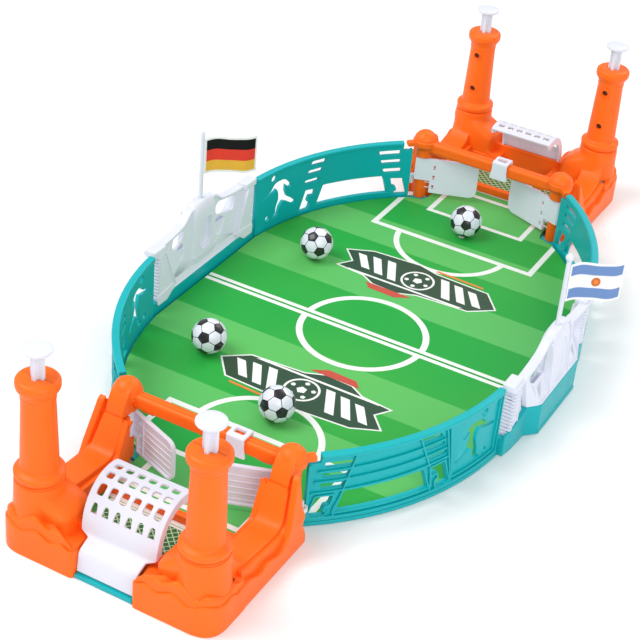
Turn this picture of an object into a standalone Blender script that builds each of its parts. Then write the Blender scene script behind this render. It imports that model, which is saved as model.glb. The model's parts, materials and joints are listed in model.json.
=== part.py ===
"""Tabletop football game for two players.

A printed pitch lies in a two-piece tray between four curved walls and two small grandstands with flags.
Each goal end is an orange moulding with two hollow towers. A sprung plunger in each tower pulls a link,
and the link swings one flipper in the goal mouth. All lengths below are millimetres; MM turns them into
metres. The far goal is at +Y, the near goal at -Y, and the ground is z = 0.
"""

import math

import bmesh
import bpy
from mathutils import Matrix, Vector

MM = 0.001
GAP = 0.3                     # between pieces that touch
NO_MERGE = 0.00001            # metres, well under the smallest feature

# ground plan
TRAY_TOP = 2.6
PITCH_TOP = 4.1
SIDE_X = 117.3                # half width of the pitch beside the stands
ARC_CENTRE = (54.5, 44.7)     # each wall's arc is centred at -54.5 on its own side
ARC_R = 173.5                 # middle of the wall panel
WALL_IN, WALL_OUT = 171.6, 176.3
STAND_Y = 61.0                # half length of a grandstand
MOUTH_X = 44.3                # half width inside the goal
END_Y = 280.0
TAB_X, TAB_Y = 15.0, 12.0     # locking tab of the near tray, across the halfway seam
WALL_START, WALL_END, RIM_END = 5.7, 49.7, 47.4       # degrees along the arc
STAND_X = (118.6, 122.2)      # front panel of a grandstand at its foot
STAND_LEAN = 0.07             # its slope outwards, per unit of height

# heights
WALL_TOP = 47.5
SILL_TOP = 12.0
BOX_TOP = 21.0
COLLAR_Z = 43.0
CAP_TOP = 104.0
HEAD_TOP = 122.4
SCREW_Z = (88.0, 62.0)
LINK_LOW, LINK_HIGH = 12.9, 15.9                      # drive link and its fork
CRANK_LOW, CRANK_HIGH = 17.6, 19.4                    # crank arm, above the fork

# goal end
POST = (52.0, 184.5)          # flipper pivot, under each knob
TOWER = (50.0, 265.0)
FLIPPER_REST = 21.0           # degrees that the free end stands back into the goal
FLIPPER_SWING = 40.0          # degrees
PLUNGER_STROKE = 12.0
CRANK_R = 7.5
LINK_TRAVEL = 2 * CRANK_R * math.sin(math.radians(FLIPPER_SWING / 2))
RAMP = LINK_TRAVEL / PLUNGER_STROKE
WEDGE_TIP = -3.0              # y of the wedge's sloping face at its foot, from the tower's axis
COLUMN_STEPS = 12

# loose and sliding pieces
FLAG_X = 124.0
FLAG_LENGTH, FLAG_HEIGHT, FLAG_WAVE = 34.0, 25.0, 1.3
FLAGS = {"left": (46.0, 76.3), "right": (42.0, 75.0)}     # heading from +X in degrees, foot height
SLIDER_X = {"near": 20.0, "far": 8.0}
BALL_R = 11.0
BALL_SPOTS = ((1.3, -110.0), (-68.0, -74.0), (-69.0, 61.5), (0.5, 150.0))

ORANGE = ("orange_abs", (0.95, 0.20, 0.03), 0.38, 0.0)
TEAL = ("turquoise_abs", (0.01, 0.52, 0.52), 0.36, 0.0)
WHITE = ("white_abs", (0.86, 0.88, 0.92), 0.35, 0.0)
PRINT = ("printed_board", (0.05, 0.42, 0.10), 0.45, 0.0)
STEEL = ("steel", (0.62, 0.62, 0.64), 0.30, 1.0)
SCREW = ("dark_steel", (0.16, 0.15, 0.15), 0.42, 1.0)
BALL = ("ball_plastic", (0.90, 0.90, 0.90), 0.35, 0.0)
CLOTH_A = ("flag_a_print", (0.75, 0.08, 0.05), 0.6, 0.0)
CLOTH_B = ("flag_b_print", (0.35, 0.52, 0.80), 0.6, 0.0)


# ---------------------------------------------------------------- scene and helpers

def clear_scene():
    for thing in list(bpy.data.objects):
        bpy.data.objects.remove(thing, do_unlink=True)


def material(spec):
    name, colour, rough, metal = spec
    found = bpy.data.materials.get(name)
    if found:
        return found
    made = bpy.data.materials.new(name)
    made.use_nodes = True
    shader = made.node_tree.nodes["Principled BSDF"]
    shader.inputs["Base Color"].default_value = (*colour, 1.0)
    shader.inputs["Roughness"].default_value = rough
    shader.inputs["Metallic"].default_value = metal
    return made


def baked(data, modifiers=()):
    """Mesh of a curve or mesh as it looks with its modifiers; the working object is removed."""
    worker = bpy.data.objects.new("worker", data)
    bpy.context.scene.collection.objects.link(worker)
    for kind, settings in modifiers:
        modifier = worker.modifiers.new(kind, kind)
        for key, value in settings.items():
            setattr(modifier, key, value)
    graph = bpy.context.evaluated_depsgraph_get()
    graph.update()
    mesh = bpy.data.meshes.new_from_object(worker.evaluated_get(graph))
    bpy.data.objects.remove(worker, do_unlink=True)
    return mesh


def cleaned(mesh, move=None, outward=True):
    shape = bmesh.new()
    shape.from_mesh(mesh)
    bmesh.ops.remove_doubles(shape, verts=shape.verts, dist=NO_MERGE)
    if move is not None:
        bmesh.ops.transform(shape, matrix=move, verts=shape.verts)
    if outward:
        bmesh.ops.recalc_face_normals(shape, faces=shape.faces)
    shape.to_mesh(mesh)
    shape.free()
    return mesh


PLANES = {
    "xy": Matrix(((1, 0, 0, 0), (0, 1, 0, 0), (0, 0, 1, 0), (0, 0, 0, 1))),
    "xz": Matrix(((1, 0, 0, 0), (0, 0, 1, 0), (0, 1, 0, 0), (0, 0, 0, 1))),
    "yz": Matrix(((0, 0, 1, 0), (1, 0, 0, 0), (0, 1, 0, 0), (0, 0, 0, 1))),
}


def slab(outline, low, high, plane="xy", holes=()):
    """Flat outline with holes, extruded from low to high across its plane."""
    curve = bpy.data.curves.new("outline", "CURVE")
    curve.dimensions = "2D"
    curve.fill_mode = "BOTH"
    curve.extrude = (high - low) / 2 * MM
    for ring in (outline, *holes):
        spline = curve.splines.new("POLY")
        spline.points.add(len(ring) - 1)
        for point, (u, v) in zip(spline.points, ring):
            point.co = (u * MM, v * MM, 0.0, 1.0)
        spline.use_cyclic_u = True
    mesh = baked(curve)
    lift = Matrix.Translation((0.0, 0.0, (low + high) / 2 * MM))
    return cleaned(mesh, PLANES[plane] @ lift)


def box(low, high):
    (x0, y0, z0), (x1, y1, z1) = low, high
    return slab([(x0, y0), (x1, y0), (x1, y1), (x0, y1)], z0, z1)


def turned(profile, steps, at=(0.0, 0.0)):
    """Solid of revolution; the profile runs down the outer side, top to bottom, in (radius, z)."""
    mesh = bpy.data.meshes.new("profile")
    points = [(radius * MM, 0.0, z * MM) for radius, z in profile]
    closed = profile[0][0] > 0
    edges = [(i, i + 1) for i in range(len(points) - 1)]
    if closed:
        edges.append((len(points) - 1, 0))
    mesh.from_pydata(points, edges, [])
    screw = {"steps": steps, "render_steps": steps, "use_merge_vertices": True,
             "merge_threshold": NO_MERGE, "use_smooth_shade": False}
    return cleaned(baked(mesh, [("SCREW", screw)]), Matrix.Translation((at[0] * MM, at[1] * MM, 0.0)))


def rod(radius, z0, z1, sides, at=(0.0, 0.0)):
    return turned([(0.0, z1), (radius, z1), (radius, z0), (0.0, z0)], sides, at)


def moved(mesh, matrix):
    return cleaned(mesh, matrix)


def combined(base, others, operation="UNION"):
    """Base mesh united with, or cut by, the other meshes one after another."""
    for other in others:
        tool = bpy.data.objects.new("tool", other)
        bpy.context.scene.collection.objects.link(tool)
        settings = {"operation": operation, "object": tool, "solver": "EXACT"}
        base = cleaned(baked(base, [("BOOLEAN", settings)]), outward=False)
        bpy.data.objects.remove(tool, do_unlink=True)
    return base


def mirrored(mesh, flip_x=False, flip_y=False):
    flip = Matrix.Diagonal((-1.0 if flip_x else 1.0, -1.0 if flip_y else 1.0, 1.0, 1.0))
    copy = mesh.copy()
    return cleaned(copy, flip)


def at_point(x, y, z=0.0):
    return Matrix.Translation((x * MM, y * MM, z * MM))


def turn_z(degrees):
    return Matrix.Rotation(math.radians(degrees), 4, "Z")


def add(collection, name, mesh, spec, at=(0.0, 0.0, 0.0), end=1, smooth=None):
    """Named part. at is its origin at the far end; end -1 turns it half a turn to the near end."""
    mesh.name = name
    mesh.materials.clear()
    mesh.materials.append(material(spec))
    if smooth is not None:
        mesh.shade_smooth()
        mesh.set_sharp_from_angle(angle=math.radians(smooth))
    part = bpy.data.objects.new(name, mesh)
    collection.objects.link(part)
    part.location = Vector(at) * MM * end
    part.location.z = at[2] * MM
    part.rotation_euler.z = 0.0 if end > 0 else math.pi
    return part


def rounded(x0, y0, x1, y1, radius, steps=3):
    """Rectangle with round corners, anticlockwise."""
    points = []
    corners = ((x1 - radius, y1 - radius, 0), (x0 + radius, y1 - radius, 90),
               (x0 + radius, y0 + radius, 180), (x1 - radius, y0 + radius, 270))
    for cx, cy, start in corners:
        for i in range(steps + 1):
            angle = math.radians(start + 90 * i / steps)
            points.append((cx + radius * math.cos(angle), cy + radius * math.sin(angle)))
    return points


def arc(radius, start, stop, count):
    """Points on one quarter's wall arc, in the quarter where x and y are positive."""
    cx, cy = ARC_CENTRE
    points = []
    for i in range(count + 1):
        angle = math.radians(start + (stop - start) * i / count)
        points.append((-cx + radius * math.cos(angle), cy + radius * math.sin(angle)))
    return points


# ---------------------------------------------------------------- tray and pitch

def half_plan(side_x, radius, last_angle, end_points):
    """Right half of one tray or pitch half, and its mirror, as one closed outline."""
    first = math.degrees(math.asin((STAND_Y - ARC_CENTRE[1]) / radius))
    right = [(side_x, GAP / 2), (side_x, STAND_Y)] + arc(radius, first + 0.4, last_angle, 8) + end_points
    left = [(-x, y) for x, y in reversed(right)]
    return right + left


def tray_mesh(tab):
    """One half of the tray; the near half has the locking tab and the far half its notch."""
    tongue = [(44.7, 186.0), (44.7, 248.4), (17.6, 248.4), (17.6, END_Y)]
    plate = slab(half_plan(SIDE_X, WALL_OUT, 51.5, tongue), 0.0, TRAY_TOP)
    if tab:
        return combined(plate, [box((-TAB_X, -TAB_Y, 0.0), (TAB_X, 1.0, TRAY_TOP))])
    notch = box((-TAB_X - GAP, -1.0, -1.0), (TAB_X + GAP, TAB_Y + GAP, TRAY_TOP + 1.0))
    return combined(plate, [notch], "DIFFERENCE")


def pitch_mesh():
    mouth = [(46.0, 178.6), (MOUTH_X, 184.5), (MOUTH_X, 247.5)]
    return slab(half_plan(SIDE_X - 1.2, WALL_IN - 0.6, 49.4, mouth), TRAY_TOP + GAP, PITCH_TOP)


# ---------------------------------------------------------------- curved walls

def along(angle):
    return math.radians(angle) * ARC_R


def window(points):
    return [(along(angle), z) for angle, z in points]


def disc(angle, z, radius, count=6):
    ring = []
    for i in range(count):
        turn = 2 * math.pi * i / count
        ring.append((along(angle) + radius * math.cos(turn), z + radius * math.sin(turn)))
    return ring


def wall_windows():
    """Cut-outs from the stand to the goal: a kicking figure, slots, two upright windows and a long one."""
    figure = window([(12.9, 36.4), (16.9, 31.0), (14.9, 33.2), (15.9, 21.6), (18.4, 16.4), (14.6, 18.8),
                     (12.6, 11.2), (13.1, 27.0), (7.8, 27.4)])
    slots = []
    for i in range(3):
        lean = 0.8 * i
        drop = 6.9 * i
        slots.append(window([(23.5 - lean, 40.4 - drop), (27.6 - lean, 40.4 - drop),
                             (27.9 - lean, 43.4 - drop), (23.9 - lean, 43.4 - drop)]))
        slots.append(window([(41.4 + lean, 38.4 - drop), (46.6, 38.4 - drop),
                             (46.6, 41.4 - drop), (41.0 + lean, 41.4 - drop)]))
    upright = window([(20.4, 7.6), (23.2, 7.6), (25.1, 21.9), (22.0, 21.9)])
    upright_end = window([(46.2, 7.6), (48.9, 7.6), (47.7, 19.0), (44.9, 19.0)])
    long_window = window([(25.2, 8.4), (44.2, 8.4), (42.7, 22.0), (27.0, 22.0)])
    head = disc(11.6, 41.0, 2.4)
    return [figure, head, upright, upright_end, long_window] + slots


def bent(mesh, flip_x, flip_y):
    """Bend a flat panel (arc length, across, height) round the wall's arc."""
    shape = bmesh.new()
    shape.from_mesh(mesh)
    count = 6
    for i in range(1, count):
        angle = WALL_START + (WALL_END - WALL_START) * i / count
        everything = list(shape.verts) + list(shape.edges) + list(shape.faces)
        bmesh.ops.bisect_plane(shape, geom=everything, dist=NO_MERGE,
                               plane_co=(along(angle) * MM, 0, 0), plane_no=(1, 0, 0))
    cx, cy = ARC_CENTRE
    for vert in shape.verts:
        angle = vert.co.x / (ARC_R * MM)
        radius = ARC_R * MM + vert.co.y
        vert.co.x = -cx * MM + radius * math.cos(angle)
        vert.co.y = cy * MM + radius * math.sin(angle)
    shape.to_mesh(mesh)
    shape.free()
    flip = Matrix.Diagonal((-1.0 if flip_x else 1.0, -1.0 if flip_y else 1.0, 1.0, 1.0))
    return cleaned(mesh, flip)


def wall_mesh(flip_x, flip_y):
    start, stop = along(WALL_START), along(WALL_END)
    low = TRAY_TOP + GAP
    outline = [(start, low), (stop, low), (stop, 41.6), (along(RIM_END), 41.6),
               (along(RIM_END), WALL_TOP), (start, WALL_TOP)]
    panel = slab(outline, -1.2, 1.2, "xz", wall_windows())
    rim = box((start, WALL_IN - ARC_R, 44.6), (along(RIM_END), WALL_OUT - ARC_R, WALL_TOP))
    foot = box((start, -1.2, low), (stop, WALL_OUT - ARC_R, 5.6))
    return bent(combined(panel, [rim, foot]), flip_x, flip_y)


# ---------------------------------------------------------------- grandstands and flags

def side_box_mesh():
    """Sill that the stand sits in: a low inner strip and a higher outer box with sloping ends."""
    quarter = [(132.4, 28.5), (126.4, 35.0), (125.4, 52.0), (124.0, 60.6), (117.9, 60.6)]
    plan = quarter + [(x, -y) for x, y in reversed(quarter)]
    block = slab(plan, 0.0, BOX_TOP)
    shelf = box((110.0, -70.0, SILL_TOP), (122.9, 70.0, 40.0))
    cuts = [shelf]
    for side in (1, -1):
        slope = [(37.0, BOX_TOP), (62.0, 13.5), (62.0, 30.0), (37.0, 30.0)]
        cuts.append(slab([(side * y, z) for y, z in slope], 110.0, 140.0, "yz"))
    return combined(block, cuts, "DIFFERENCE")


def leaning(mesh, foot):
    """Shear a shape outwards from the height of its foot."""
    shear = Matrix.Identity(4)
    shear[0][2] = STAND_LEAN
    shear[0][3] = -STAND_LEAN * foot * MM
    return cleaned(mesh, shear)


def stand_panel(low):
    """Front panel with two openings on each side of the pylon."""
    outline = [(-60.6, low), (60.6, low), (60.6, 48.0), (46.0, 47.0), (36.0, 49.5), (13.0, 56.0),
               (-13.0, 56.0), (-36.0, 49.5), (-46.0, 47.0), (-60.6, 48.0)]
    wide_upper = [(-15.5, 49.6), (-20.0, 51.2), (-28.1, 48.2), (-36.0, 44.0), (-33.0, 36.4), (-15.5, 42.2)]
    wide_lower = [(-15.5, 39.2), (-22.6, 35.4), (-17.6, 27.2), (-15.5, 27.8)]
    narrow_upper = [(34.4, 40.2), (32.3, 46.6), (24.6, 50.4), (22.6, 46.8), (24.9, 41.2), (32.6, 37.4)]
    narrow_lower = [(31.8, 35.0), (28.7, 38.0), (25.4, 36.8), (25.5, 30.9), (28.8, 27.4)]
    panel = slab(outline, *STAND_X, "yz", [wide_upper, wide_lower, narrow_upper, narrow_lower])
    return leaning(panel, low)


def stand_mesh():
    """Grandstand with a slotted panel, a central pylon, a sloping outer face and ridged ends."""
    foot = BOX_TOP + GAP
    seating = slab([(121.0, foot), (131.0, foot), (126.0, 34.0), (121.8, 34.0)], -31.0, 31.0, "xz")
    pylon = loft([section(foot, 118.4, 131.0, -14.0, 14.0, 6), section(50.0, 118.9, 129.6, -13.0, 13.0, 4),
                  section(56.5, 119.8, 128.8, -11.0, 11.0, 3), section(59.5, 121.6, 127.2, -7.0, 7.0, 2.5)])
    pieces = [seating, pylon]
    for side in (1, -1):
        low = [(121.0, 30.0), (131.0, 30.0), (125.5, 37.0), (121.0, 37.0)]
        high = [(122.4, 41.0), (124.8, 41.0), (124.8, 43.0), (122.4, 43.0)]
        rings = [[(x, side * y, foot) for x, y in low], [(x, side * y, 46.5) for x, y in high]]
        pieces.append(loft(rings))
        y0, y1 = sorted((side * 45.0, side * 59.0))
        strip = [(121.0, 19.0), (124.8, 19.0), (124.8, 45.0), (121.6, 45.0)]
        pieces.append(slab(strip, y0, y1, "xz"))
        y0, y1 = sorted((side * 48.0, side * 60.6))
        pieces.append(box((117.6, y0, 44.5), (125.0, y1, 49.5)))
    cuts = [rod(1.9, 42.0, 61.0, 8, (FLAG_X, 0.0))]
    hollow = [(123.7, 23.0), (128.6, 23.0), (124.9, 32.4), (124.9, 40.0), (123.7, 40.0)]
    for side in (1, -1):
        y0, y1 = sorted((side * 15.4, side * 28.8))
        cuts.append(slab(hollow, y0, y1, "xz"))
    return combined(combined(stand_panel(SILL_TOP + GAP), pieces), cuts, "DIFFERENCE")


def pole_mesh(ball):
    """Pole that stands in the pylon's socket, with a ball or a plain end on top."""
    if ball:
        top = [(0.0, 107.5), (1.5, 107.0), (2.5, 105.3), (2.5, 103.8), (1.4, 102.2)]
    else:
        top = [(0.0, 107.0), (1.4, 106.4)]
    return turned(top + [(1.4, 42.8), (0.0, 42.8)], 10)


def flag_mesh(heading):
    """Thin waved sheet whose near edge stands just off the pole."""
    columns = 12
    shape = bmesh.new()
    rings = []
    for i in range(columns + 1):
        part = i / columns
        out = 1.8 + FLAG_LENGTH * part
        side = FLAG_WAVE * math.sin(part * math.tau)
        ring = []
        for across, z in ((-0.25, 0.0), (0.25, 0.0), (0.25, FLAG_HEIGHT), (-0.25, FLAG_HEIGHT)):
            ring.append(shape.verts.new((out * MM, (side + across) * MM, z * MM)))
        rings.append(ring)
    for near, far in zip(rings, rings[1:]):
        for k in range(4):
            shape.faces.new((near[k], near[(k + 1) % 4], far[(k + 1) % 4], far[k]))
    shape.faces.new(rings[0])
    shape.faces.new(rings[-1])
    mesh = bpy.data.meshes.new("flag")
    shape.to_mesh(mesh)
    shape.free()
    return cleaned(mesh, turn_z(heading))


# ---------------------------------------------------------------- goal end

def section(z, x0, x1, y0, y1, power, count=12):
    """Ring of a loft: a rounded rectangle, square at a high power and an ellipse at 2."""
    cx, cy = (x0 + x1) / 2, (y0 + y1) / 2
    a, b = (x1 - x0) / 2, (y1 - y0) / 2
    ring = []
    for i in range(count):
        turn = math.tau * (i + 0.5) / count
        c, s = math.cos(turn), math.sin(turn)
        ring.append((cx + a * math.copysign(abs(c) ** (2 / power), c),
                     cy + b * math.copysign(abs(s) ** (2 / power), s), z))
    return ring


def loft(rings):
    """Closed solid through rings with the same number of points, listed from the bottom up."""
    shape = bmesh.new()
    made = [[shape.verts.new(Vector(point) * MM) for point in ring] for ring in rings]
    for low, high in zip(made, made[1:]):
        for i in range(len(low)):
            j = (i + 1) % len(low)
            shape.faces.new((low[i], low[j], high[j], high[i]))
    shape.faces.new(list(reversed(made[0])))
    shape.faces.new(made[-1])
    mesh = bpy.data.meshes.new("loft")
    shape.to_mesh(mesh)
    shape.free()
    return cleaned(mesh)


def tower_foot():
    """Two-layered block under a tower, with a wavy upper edge and a round outer corner at the back."""
    plan = [(18.0, 248.8), (66.5, 248.8), (66.5, 269.5), (65.0, 275.5), (60.5, 280.0), (54.5, 281.5),
            (18.0, 281.5)]
    lower = slab(plan, 0.0, 16.0)
    inset = [(19.0, 249.8), (65.3, 249.8), (65.3, 269.2), (63.9, 274.8), (59.8, 279.0), (54.2, 280.3),
             (19.0, 280.3)]
    wave = [(19.0, 0.0), (65.3, 0.0), (65.3, 22.5), (60.0, 26.0), (50.0, 27.0), (40.0, 26.5), (34.0, 24.5),
            (31.0, 22.0), (27.5, 22.0), (23.8, 16.8), (19.0, 16.4)]
    upper = combined(slab(inset, 1.0, 40.0), [slab(wave, 245.0, 285.0, "xz")], "INTERSECT")
    neck = turned([(0.0, COLLAR_Z - GAP), (12.6, COLLAR_Z - GAP), (13.3, 41.5), (13.6, 30.0), (14.6, 20.0),
                   (14.6, 10.0), (0.0, 10.0)], 14, TOWER)
    return combined(lower, [upper, neck])


def goal_beams():
    """Side beam with its buttress under the knob, the band along it and the rocky outer layer."""
    main_face = [(191.0, 0.0), (256.0, 0.0), (256.0, 38.0), (254.0, 35.0), (252.0, 31.0), (249.0, 26.8),
                 (245.0, 23.8), (240.0, 22.0), (232.0, 20.9), (222.0, 20.2), (219.0, 19.4), (213.0, 19.2),
                 (209.0, 19.6), (206.5, 21.2), (204.5, 24.2), (202.5, 28.3), (200.0, 33.5), (197.6, 38.2),
                 (197.6, 36.0), (191.0, 36.0)]
    band = [(191.0, 0.0), (250.0, 0.0), (250.0, 22.0), (240.0, 20.0), (222.0, 18.2), (209.0, 17.4),
            (205.0, 19.4), (202.8, 23.0), (200.6, 27.5), (198.2, 32.5), (195.8, 37.5), (194.0, 42.0),
            (193.5, 44.0), (193.5, 36.0), (191.0, 36.0)]
    rocky = [(189.0, 0.0), (189.0, 6.0), (193.6, 15.0), (190.6, 19.5), (193.6, 26.0), (193.8, 46.0),
             (196.5, 44.5), (199.5, 37.0), (203.0, 28.5), (206.0, 21.0), (209.5, 14.2), (214.0, 11.4),
             (220.0, 11.2), (225.0, 13.6), (230.0, 14.4), (234.0, 12.2), (238.0, 12.4), (244.0, 15.4),
             (250.0, 16.4), (256.0, 16.2), (256.0, 0.0)]
    inner = [(197.6, 38.0), (201.0, 31.0), (204.0, 24.5), (206.0, 20.0), (208.5, 17.4), (222.0, 17.4),
             (248.9, 19.5), (248.9, 4.6), (203.0, 4.6), (203.0, 12.0), (200.0, 22.0), (197.0, 29.0),
             (195.5, 33.0), (193.5, 36.0), (197.6, 36.0)]
    beams = [slab(main_face, 45.0, 60.2, "yz"), slab(band, 60.0, 63.0, "yz"), slab(rocky, 62.8, 66.5, "yz"),
             slab(inner, 41.6, 45.4, "yz")]
    return combined(beams[0], beams[1:])


def goal_side():
    """Right half of the goal moulding: tower foot, side beam with its buttress, pivot boss."""
    boss = rod(4.2, TRAY_TOP + GAP, 17.0, 8, POST)
    web = box((47.6, 184.5, TRAY_TOP + GAP), (56.4, 192.0, 16.9))
    whole = combined(tower_foot(), [goal_beams(), web, boss])
    cuts = [
        box((47.0, 193.0, -1.0), (61.6, 257.0, 17.2)),
        box((46.4, 253.5, -1.0), (61.6, 274.2, 21.4)),
        box((46.4, 257.6, 10.0), (53.8, 274.2, 31.6)),
        rod(7.2, 30.0, 50.0, 14, TOWER),
        box((57.6, 188.0, 12.0), (61.6, 195.0, 16.9)),
        rod(2.1, 9.5, 20.0, 8, POST),
    ]
    return combined(whole, cuts, "DIFFERENCE")


def goal_mesh():
    right = goal_side()
    left = mirrored(right, flip_x=True)
    back_wall = box((-34.0, 261.0, TRAY_TOP + GAP), (34.0, 264.0, 21.5))
    sill = box((-45.6, 214.0, PITCH_TOP + GAP), (45.6, 218.5, 9.6))
    return combined(right, [back_wall, sill, left])


def crossbar_mesh():
    """Bar over the goal mouth with a domed knob, a pivot peg and a clip arm at each end."""
    bar = slab(rounded(180.7, 39.6, 188.3, 48.4, 2.4, 2), -47.0, 47.0, "yz")
    knob = turned([(0.0, 55.0), (5.4, 53.8), (8.6, 48.4), (8.4, 43.6), (6.0, 42.0), (6.0, 35.6),
                   (1.8, 35.6), (1.8, 10.5), (0.0, 10.5)], 10, POST)
    arm = slab([(186.0, 36.5), (197.3, 36.5), (197.3, 39.4), (195.4, 44.4), (193.0, 49.0), (190.4, 51.8),
                (186.0, 52.6)], 46.1, 57.7, "yz")
    tab = slab([(0.0, -2.6), (13.5, -2.6), (13.5, 2.6), (0.0, 2.6)], 44.3, 47.4)
    tab = moved(tab, at_point(*POST) @ turn_z(-47.0))
    pieces = []
    for piece in (knob, arm, tab):
        pieces += [piece, mirrored(piece, flip_x=True)]
    return combined(bar, pieces)


def slider_mesh():
    """Clip that slides on the crossbar, with a sunk window in its top."""
    outline = [(179.1, 37.4), (180.4, 37.4), (180.4, 48.7), (188.6, 48.7), (188.6, 37.4), (189.9, 37.4),
               (189.9, 50.6), (179.1, 50.6)]
    clip = slab(outline, -5.5, 5.5, "yz")
    return combined(clip, [box((-3.0, 182.8, 49.9), (3.0, 186.2, 55.0))], "DIFFERENCE")


def cover_mesh():
    """Curved net cover with four rows of six openings, a shelf and an upright apron."""
    outer = [(235.0, 45.6), (242.0, 46.9), (250.0, 46.0), (257.2, 42.0), (262.3, 36.0), (265.4, 28.5),
             (266.4, 19.5), (276.6, 15.2), (278.2, 3.4)]
    inner = []
    for i, (y, z) in enumerate(outer):
        before = Vector(outer[max(i - 1, 0)])
        after = Vector(outer[min(i + 1, len(outer) - 1)])
        tangent = (after - before).normalized()
        inner.append((y - 1.6 * -tangent.y, z - 1.6 * tangent.x))
    shell = slab(outer + list(reversed(inner)), -23.0, 23.0, "yz")
    trims = []
    for side in (1, -1):
        x0, x1 = sorted((side * 17.6, side * 30.0))
        trims.append(box((x0, 266.9, 0.0), (x1, 290.0, 20.0)))
    shell = combined(shell, trims, "DIFFERENCE")
    rows = ((240.6, 244.0), (249.0, 252.4), (256.2, 260.6), (262.6, 270.0))
    cuts = []
    for row, (y0, y1) in enumerate(rows):
        for column in range(6):
            x = -17.5 + 7.0 * column
            low, high = ((38.0, 60.0), (36.0, 60.0), (33.4, 43.0), (22.4, 29.0))[row]
            cuts.append(box((x - 2.0, y0, low), (x + 2.0, y1, high)))
    return combined(shell, cuts, "DIFFERENCE")


# ---------------------------------------------------------------- towers

def column_half(front):
    """Half of a tower column, hollow for the plunger; the front half faces the pitch."""
    profile = [(4.7, CAP_TOP), (9.8, CAP_TOP), (11.6, 101.4), (8.9, 96.2), (10.6, 49.0), (13.5, 46.4),
               (12.6, COLLAR_Z), (5.0, COLLAR_Z), (5.0, 50.0), (6.4, 50.0), (6.4, 97.0), (4.7, 97.0)]
    whole = turned(profile, COLUMN_STEPS)
    shape = bmesh.new()
    shape.from_mesh(whole)
    side = -1 if front else 1
    everything = list(shape.verts) + list(shape.edges) + list(shape.faces)
    bmesh.ops.bisect_plane(shape, geom=everything, dist=NO_MERGE, plane_co=(0, side * 0.15 * MM, 0),
                           plane_no=(0, -side, 0), clear_outer=True)
    bmesh.ops.holes_fill(shape, edges=[edge for edge in shape.edges if edge.is_boundary], sides=0)
    shape.to_mesh(whole)
    shape.free()
    half = cleaned(whole)
    if not front:
        return half
    holes = []
    for z in SCREW_Z:
        holes.append(moved(rod(2.1, 8.2, 14.0, 8), screw_turn(z)))
        holes.append(moved(rod(1.15, 6.9, 14.0, 6), screw_turn(z)))
    return combined(half, holes, "DIFFERENCE")


def screw_turn(z):
    """Turns a shape built along +Z so that it points at the pitch from the tower's axis."""
    return at_point(0.0, 0.0, z) @ Matrix.Rotation(math.radians(90.0), 4, "X")


def screw_mesh():
    return turned([(0.0, 9.1), (1.5, 9.1), (1.8, 8.5), (0.85, 8.5), (0.85, 7.2), (0.0, 7.2)], 6)


def plunger_mesh():
    """Disc head on a cross-shaped stem, a stop flange, and a wedge that works the link."""
    rib, half = 1.2, 4.0
    plus = [(rib, rib), (rib, half), (-rib, half), (-rib, rib), (-half, rib), (-half, -rib),
            (-rib, -rib), (-rib, -half), (rib, -half), (rib, -rib), (half, -rib), (half, rib)]
    stem = slab(plus, 45.0, 120.0)
    head = turned([(0.0, HEAD_TOP), (5.4, HEAD_TOP - 0.3), (7.6, HEAD_TOP - 1.2), (7.9, 120.4),
                   (7.2, 119.2), (4.2, 118.4), (0.0, 118.4)], 12)
    flange = turned([(0.0, 96.6), (5.9, 96.6), (5.9, 94.2), (0.0, 94.2)], 8)
    rear = WEDGE_TIP + RAMP * 16.0
    wedge = slab([(-3.9, 28.0), (WEDGE_TIP, 28.0), (rear, 44.0), (rear, 47.0), (-3.9, 47.0)], -2.4, 2.4, "yz")
    return combined(stem, [head, flange, wedge])


def spring_mesh():
    turns, per_turn, wire = 5, 8, 0.4
    z0, z1, radius = 50.9, 93.4, 5.4
    curve = bpy.data.curves.new("coil", "CURVE")
    curve.dimensions = "3D"
    curve.bevel_depth = wire * MM
    curve.bevel_resolution = 0
    curve.use_fill_caps = True
    count = turns * per_turn + 1
    spline = curve.splines.new("POLY")
    spline.points.add(count - 1)
    for i, point in enumerate(spline.points):
        turn = math.tau * i / per_turn
        z = z0 + (z1 - z0) * i / (count - 1)
        point.co = (radius * math.cos(turn) * MM, radius * math.sin(turn) * MM, z * MM, 1.0)
    return cleaned(baked(curve))


def crank_offset(turned_by):
    """Crank pin from the pivot, in the right-hand flipper's frame, after turning by some degrees."""
    angle = math.radians(turned_by - FLIPPER_SWING / 2)
    return CRANK_R * math.cos(angle), CRANK_R * math.sin(angle)


def flipper_mesh():
    """Right-hand flipper about its pivot: plate with a rounded free end, hinge barrel and crank pin."""
    free, hinge, low, high = -40.7, -6.4, 8.0, 34.8
    outline = [(5.0, 17.4), (5.0, high), (free + 6.0, high), (free + 1.8, high - 1.8), (free, high - 6.0),
               (free, low + 6.0), (free + 1.8, low + 1.8), (free + 6.0, low), (hinge, low), (hinge, 17.4)]
    slots = [[(-9.6, z), (-8.2, z), (-8.2, z + 3.4), (-9.6, z + 3.4)] for z in (10.5, 18.5, 26.5)]
    plate = slab(outline, -4.2, -1.9, "xz", slots)
    barrel = rod(4.2, 17.4, 35.2, 10)
    bore = rod(2.3, 10.0, 40.0, 8)
    body = combined(combined(plate, [barrel]), [bore], "DIFFERENCE")
    body = moved(body, turn_z(-FLIPPER_REST))
    x, y = crank_offset(0.0)
    angle = math.degrees(math.atan2(y, x))
    arm = moved(box((3.0, -1.1, CRANK_LOW), (CRANK_R + 1.0, 1.1, CRANK_HIGH)), turn_z(angle))
    pin = rod(1.0, LINK_LOW - 0.4, CRANK_LOW + 0.9, 6, (x, y))
    return combined(body, [arm, pin])


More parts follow.
